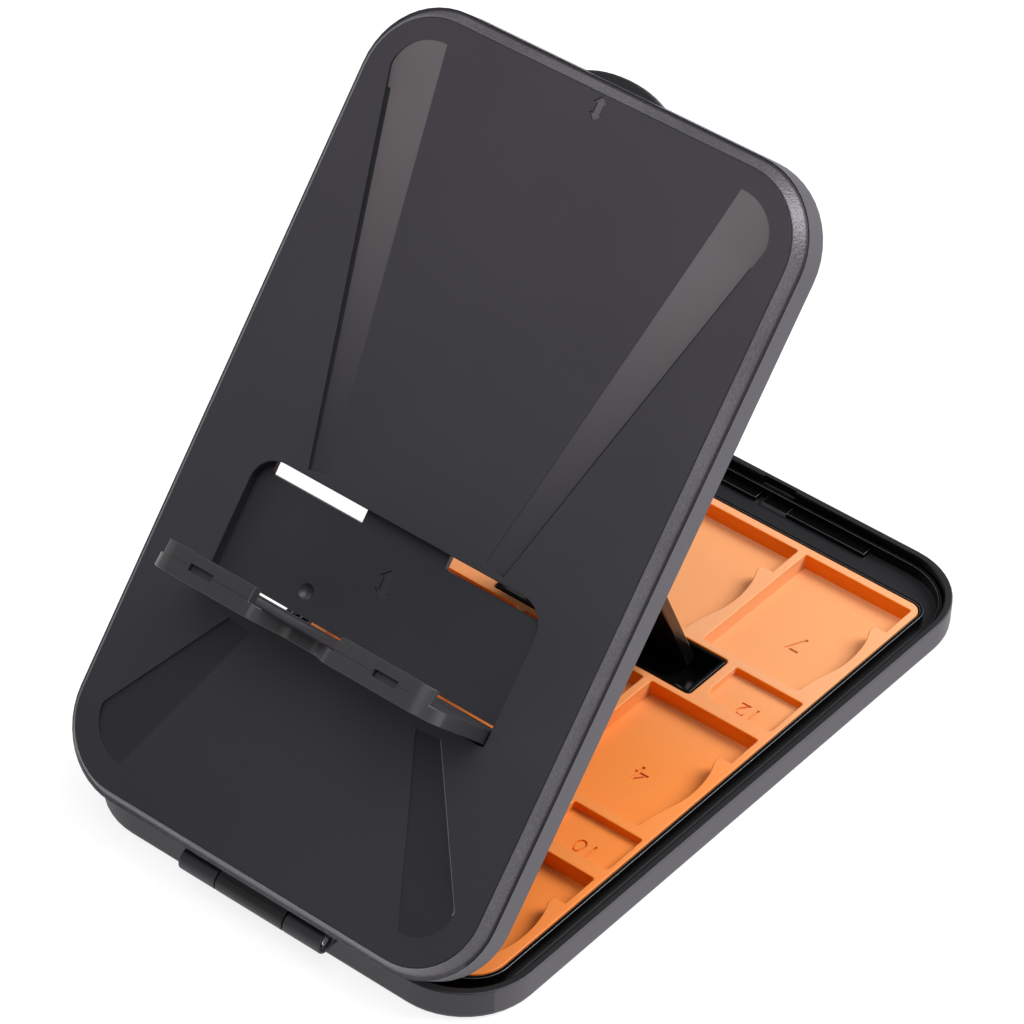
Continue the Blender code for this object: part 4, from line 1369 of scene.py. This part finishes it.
@dataclass
class LidLining(Piece):
    """The panel under the lid: recess floor, cradle for the ledge and lugs for the strut."""

    recess: float = 2.8
    thickness: float = 1.2
    collar_wall: float = 1.9
    rim_inset: float = 3.3
    rim_width: float = 1.0
    lug_wall: float = 0.5
    lug_width: float = 2.5
    strut_half: float = 16.5
    strut_trunnion: float = 0.9
    flap_trunnion: float = 0.7
    flap_trunnion_length: float = 2.3
    flap_inner_face: float = -0.3
    slot_play: float = 0.7
    hook: Pair = (9.3, 28.7)
    hook_thickness: float = 2.2
    dimple: Pair = (-13.2, 51.1)
    dimple_radius: float = 1.5
    dimple_depth: float = 0.7
    arrow: Triple = (0.0, 55.9, 61.5)
    arrow_depth: float = 0.3
    collar_rounding: float = 0.15

    def shape(self) -> Shape:
        """Model the lining with the case shut."""
        case = self.case
        floor = case.lid_face - self.recess
        under = floor - self.thickness
        top = case.lid_ceiling - case.gap
        low = floor - case.sink
        lining = case.slab(case.wall + case.gap, under, floor)
        rim = case.slab(self.rim_inset, low, top)
        rim.combine(Cut.AWAY, [case.slab(self.rim_inset + self.rim_width, low - CLEAR, top + CLEAR)])
        collar = case.window(case.gap + self.collar_wall, low, top)
        collar.combine(Cut.AWAY, [case.window(case.gap, low - CLEAR, top + CLEAR)])
        collar.round_edges(self.collar_rounding, lambda spot: spot.z > top - TOUCH)
        lining.combine(Cut.JOIN, [rim, collar, *self.lugs(under)])
        bore = self.strut_trunnion + case.gap
        reach = self.strut_half + case.gap + self.lug_width + case.sink
        lining.combine(Cut.AWAY, [Shape.rod(bore, (-reach, reach), case.strut_y, case.strut_z)])
        lining.combine(Cut.AWAY, self.openings(under, floor, top))
        rise = (self.dimple_radius ** 2 + self.dimple_depth ** 2) / (2 * self.dimple_depth)
        ball = Shape.ball(rise, Vector((*self.dimple, floor - self.dimple_depth + rise)))
        x, near, far = self.arrow
        arrow = double_arrow(x, near, far, floor - self.arrow_depth, floor + case.sink)
        lining.combine(Cut.AWAY, [ball, arrow])
        return self.paint(lining, MARK_GREY, lambda spot, normal: normal.z > UPWARDS
                          and abs(spot.z - floor + self.arrow_depth) < TOUCH)

    def lugs(self, under: float) -> list[Shape]:
        """The two ears that carry the strut."""
        case = self.case
        radius = self.strut_trunnion + case.gap + self.lug_wall
        inner = self.strut_half + case.gap
        x = (inner, inner + self.lug_width)
        ear = Shape.rod(radius, x, case.strut_y, case.strut_z)
        near, far = case.strut_y - radius, case.strut_y + radius
        ear.combine(Cut.JOIN, [Shape.box(x, (near, far), (case.strut_z, under + case.sink))])
        return [ear.twin(), ear]

    def openings(self, under: float, floor: float, top: float) -> list[Shape]:
        """The ledge's cradle and slot, and the notches for its lips, as blocks to cut away."""
        case = self.case
        radius = self.flap_trunnion + case.gap
        half = case.flap_half + self.flap_trunnion_length + case.gap
        axis = case.lid_face - case.flap_barrel
        groove = Shape.rod(radius, (-half, half), case.flap_y, axis)
        near, far = case.flap_y - radius, case.flap_y + radius
        groove.combine(Cut.JOIN, [Shape.box((-half, half), (near, far), (axis, top + CLEAR))])
        low, high = under - CLEAR, floor + case.gap
        slot_far = case.flap_y - self.flap_inner_face + self.slot_play
        slot_half = case.flap_half + case.flap_clearance
        slot = Shape.box((-slot_half, slot_half), (case.window_near - case.gap / 2, slot_far), (low, high))
        hook_near = case.flap_y + case.flap_length - self.hook_thickness - case.gap
        inner, outer = self.hook
        notch = Shape.box((inner - case.gap, outer + case.gap), (hook_near, case.window_far), (low, high))
        return [groove, slot, notch.twin(), notch]


@dataclass
class DeviceLedge(Piece):
    """The folding ledge: a plate with a dip and two hooked lips."""

    inner_face: float = -0.3
    trunnion: float = 0.7
    trunnion_length: float = 2.3
    tip_corner: float = 4.7
    dip_depth: float = 5.0
    dip_top: float = 8.0
    dip_bottom: float = 3.5
    dip_rounding: Pair = (0.9, 1.4)
    lip: Pair = (9.3, 28.7)
    lip_height: float = 5.2
    lip_thickness: float = 2.2
    lip_overlap: float = 0.6
    slit: Pair = (17.4, 22.4)
    slit_levels: Pair = (-1.2, 0.1)
    slit_depth: float = 1.0
    parting: Pair = (-0.62, -0.5)
    parting_depth: float = 0.08
    parting_inset: Pair = (0.3, 0.9)
    edge_rounding: float = 0.12

    def plan(self, low: float, high: float) -> Shape:
        """The plate's outline seen from above, as a block between two levels."""
        half, tip, top = self.case.flap_half, self.case.flap_length, self.dip_top
        back = -self.case.flap_barrel
        top_cut, bottom_cut = self.dip_rounding
        right = [(half, back, 0.0), (half, tip, self.tip_corner), (top, tip, top_cut),
                 (self.dip_bottom, tip - self.dip_depth, bottom_cut)]
        left = [(-x, y, cut) for x, y, cut in reversed(right)]
        return Shape.plate(right + left, low, high)

    def shape(self) -> Shape:
        """Model the ledge folded flat into its window."""
        case = self.case
        barrel, tip, half = case.flap_barrel, case.flap_length, case.flap_half
        plate = self.plan(self.inner_face, barrel)
        plate.round_edges(barrel, lambda spot: spot.y < TOUCH - barrel and spot.z > barrel - TOUCH, 10)
        inner, outer = self.lip
        low = barrel - self.lip_height
        back, cut = tip - self.lip_thickness, self.tip_corner
        lip = Shape.plate([(inner, back, 0.0), (outer, back, 0.0), (outer, tip, 0.0), (inner, tip, 0.0)],
                          low, self.inner_face + self.lip_overlap)
        corner = Shape.plate([(-half, 0.0, 0.0), (half, 0.0, 0.0), (half, tip, cut), (-half, tip, cut)],
                             low - CLEAR, barrel)
        lips = [form.trim(corner.copy()) for form in (lip, lip.twin())]
        plate.combine(Cut.JOIN, lips)
        first, last = self.slit
        slit = Shape.box((first, last), (tip - self.slit_depth, tip + CLEAR), self.slit_levels)
        plate.round_edges(self.edge_rounding, lambda spot: spot.y > barrel)
        plate.combine(Cut.AWAY, [slit.twin(), slit])
        first, last = inner + self.parting_inset[0], outer - self.parting_inset[1]
        line = Shape.box((first, last), (tip - self.parting_depth, tip + CLEAR), self.parting)
        plate.combine(Cut.AWAY, [line.twin(), line])
        end = half + self.trunnion_length
        return plate.combine(Cut.JOIN, [Shape.rod(self.trunnion, (-end, end), 0.0, 0.0, 32)])


@dataclass
class PropPlate(Piece):
    """The prop strut: a plate from the lid down into the well."""

    half: float = 16.5
    thickness: float = 2.3
    foot_corner: float = 3.0
    trunnion: float = 0.9
    trunnion_length: float = 2.5
    edge_rounding: float = 0.25

    def shape(self) -> Shape:
        """Model the strut folded flat."""
        radius = self.thickness / 2
        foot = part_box("prop_strut")[0].z / MM + radius
        rise = joint_named("strut_fold")["pos_m"][2] / MM - foot
        lid_angle = LID_LIMIT_ANGLE - joint_range("lid_hinge")[1]
        length = rise / math.sin(math.radians(lid_angle - joint_range("strut_fold")[0]))
        half, near, far = self.half, -length - radius, radius
        cut = self.foot_corner
        plate = Shape.plate([(-half, near, cut), (half, near, cut), (half, far, 0.0), (-half, far, 0.0)],
                            -radius, radius)
        plate.round_edges(radius * FULL_CUT, lambda spot: spot.y < near + TOUCH or spot.y > far - TOUCH, 8)
        plate.round_edges(self.edge_rounding, lambda spot: abs(spot.z) > radius - TOUCH)
        end = half + self.trunnion_length
        return plate.combine(Cut.JOIN, [Shape.rod(self.trunnion, (-end, end), 0.0, 0.0, 32)])


@dataclass(frozen=True)
class Softbox:
    """A large square light."""

    name: str
    place: Triple
    side: float
    power: float


@dataclass
class Studio:
    """The floor, the light and the camera."""

    camera_place: Triple = (0.3886, -0.5185, 0.5795)
    camera_right: Triple = (0.7759, 0.6299, 0.0354)
    camera_back: Triple = (0.4681, -0.6124, 0.6370)
    lens: float = 169.86
    sensor: float = 36.0
    floor_side: float = 6.0
    floor_drop: float = 0.0002
    sky: float = 0.1
    aim: Triple = (0.0, 0.0, 0.04)
    lights: tuple[Softbox, ...] = (
        Softbox("overhead softbox", (0.15, -0.35, 0.95), 0.7, 7.5),
        Softbox("right softbox", (0.9, 0.8, 1.2), 1.0, 40.0),
        Softbox("left softbox", (-1.3, -0.2, 0.8), 1.0, 4.0),
    )

    def build(self) -> None:
        """Build the floor, the lights, the sky and the camera."""
        self._floor()
        self._sky()
        for light in self.lights:
            self._light(light)
        self._camera()
        bpy.context.scene.view_settings.view_transform = "Standard"

    def _floor(self) -> None:
        """Lay the pale floor just under the case."""
        bm = bmesh.new()
        bmesh.ops.create_grid(bm, x_segments=4, y_segments=4, size=self.floor_side / 2,
                              matrix=Matrix.Translation((0.0, 0.0, -self.floor_drop)))
        mesh = bpy.data.meshes.new("floor")
        bm.to_mesh(mesh)
        bm.free()
        mesh.materials.append(PALE_FLOOR.make())
        floor = bpy.data.objects.new("floor", mesh)
        bpy.context.scene.collection.objects.link(floor)

    def _sky(self) -> None:
        """Give the room an even pale light."""
        world = bpy.data.worlds.new("studio")
        world.use_nodes = True
        background = world.node_tree.nodes["Background"]
        background.inputs["Color"].default_value = (1.0, 1.0, 1.0, 1.0)
        background.inputs["Strength"].default_value = self.sky
        bpy.context.scene.world = world

    def _light(self, softbox: Softbox) -> None:
        """Hang one softbox, turned to the case."""
        data = bpy.data.lights.new(softbox.name, "AREA")
        data.shape = "SQUARE"
        data.size = softbox.side
        data.energy = softbox.power
        light = bpy.data.objects.new(softbox.name, data)
        light.location = softbox.place
        towards = Vector(self.aim) - Vector(softbox.place)
        light.rotation_euler = towards.to_track_quat("-Z", "Y").to_euler()
        bpy.context.scene.collection.objects.link(light)

    def _camera(self) -> None:
        """Set the camera to the photograph's view."""
        data = bpy.data.cameras.new("camera")
        data.lens = self.lens
        data.sensor_width = self.sensor
        data.clip_start = 0.01
        right, back = Vector(self.camera_right).normalized(), Vector(self.camera_back).normalized()
        up = back.cross(right)
        turn = Matrix((right, up, back)).transposed().to_4x4()
        camera = bpy.data.objects.new("camera", data)
        camera.matrix_world = Matrix.Translation(self.camera_place) @ turn
        bpy.context.scene.collection.objects.link(camera)
        bpy.context.scene.camera = camera


def pieces() -> list[Piece]:
    """All the pieces of the case, in the order they are built."""
    case = Case()
    cover_finishes = (LID_GREY, BAND_GREY, FLUTE_GREY, SATIN_BLACK_AND_SHADE, PAINTED_LIGHT_GREY, SIDE_REFLECTION_GREY)
    tub_finishes = (MATTE_GREY, GLOSS_BLACK, SATIN_BLACK_AND_SHADE, SIDE_REFLECTION_GREY)
    liner_finishes = (GLOSS_BLACK, EDGE_HIGHLIGHT_BLACK, PAINTED_LIGHT_GREY, SATIN_BLACK_AND_SHADE)
    insert_finishes = (SOFT_ORANGE, LIT_ORANGE, SHADED_ORANGE)
    return [
        BaseTub(case, "base_tub", "base_shell", Body.BASE, Slot.SHELL, tub_finishes),
        TrayLiner(case, "tray_liner", "base_inner_frame", Body.BASE, Slot.LINER, liner_finishes),
        CardInsert(case, "card_insert", "card_tray", Body.BASE, Slot.TRAY, insert_finishes),
        HingePin(case, "steel_pin", "hinge_pin", Body.BASE, Slot.STEEL, (DRAWN_STEEL,)),
        LidCover(case, "lid_cover", "lid_shell", Body.LID, Slot.SHELL, cover_finishes),
        LidLining(case, "lid_lining", "lid_inner_panel", Body.LID, Slot.SATIN, (PANEL_BLACK, MARK_GREY)),
        DeviceLedge(case, "device_ledge", "ledge_flap", Body.FLAP, Slot.SATIN, (LEDGE_BLACK,)),
        PropPlate(case, "prop_plate", "prop_strut", Body.STRUT, Slot.SATIN, (STRUT_BLACK,)),
    ]


def main() -> None:
    """Build the studio and every piece, and log which body each one rides on."""
    Studio().build()
    for piece in pieces():
        built = piece.build()
        log.info("%s rides on %s", built.name, piece.body.value)


if __name__ == "__main__":
    main()
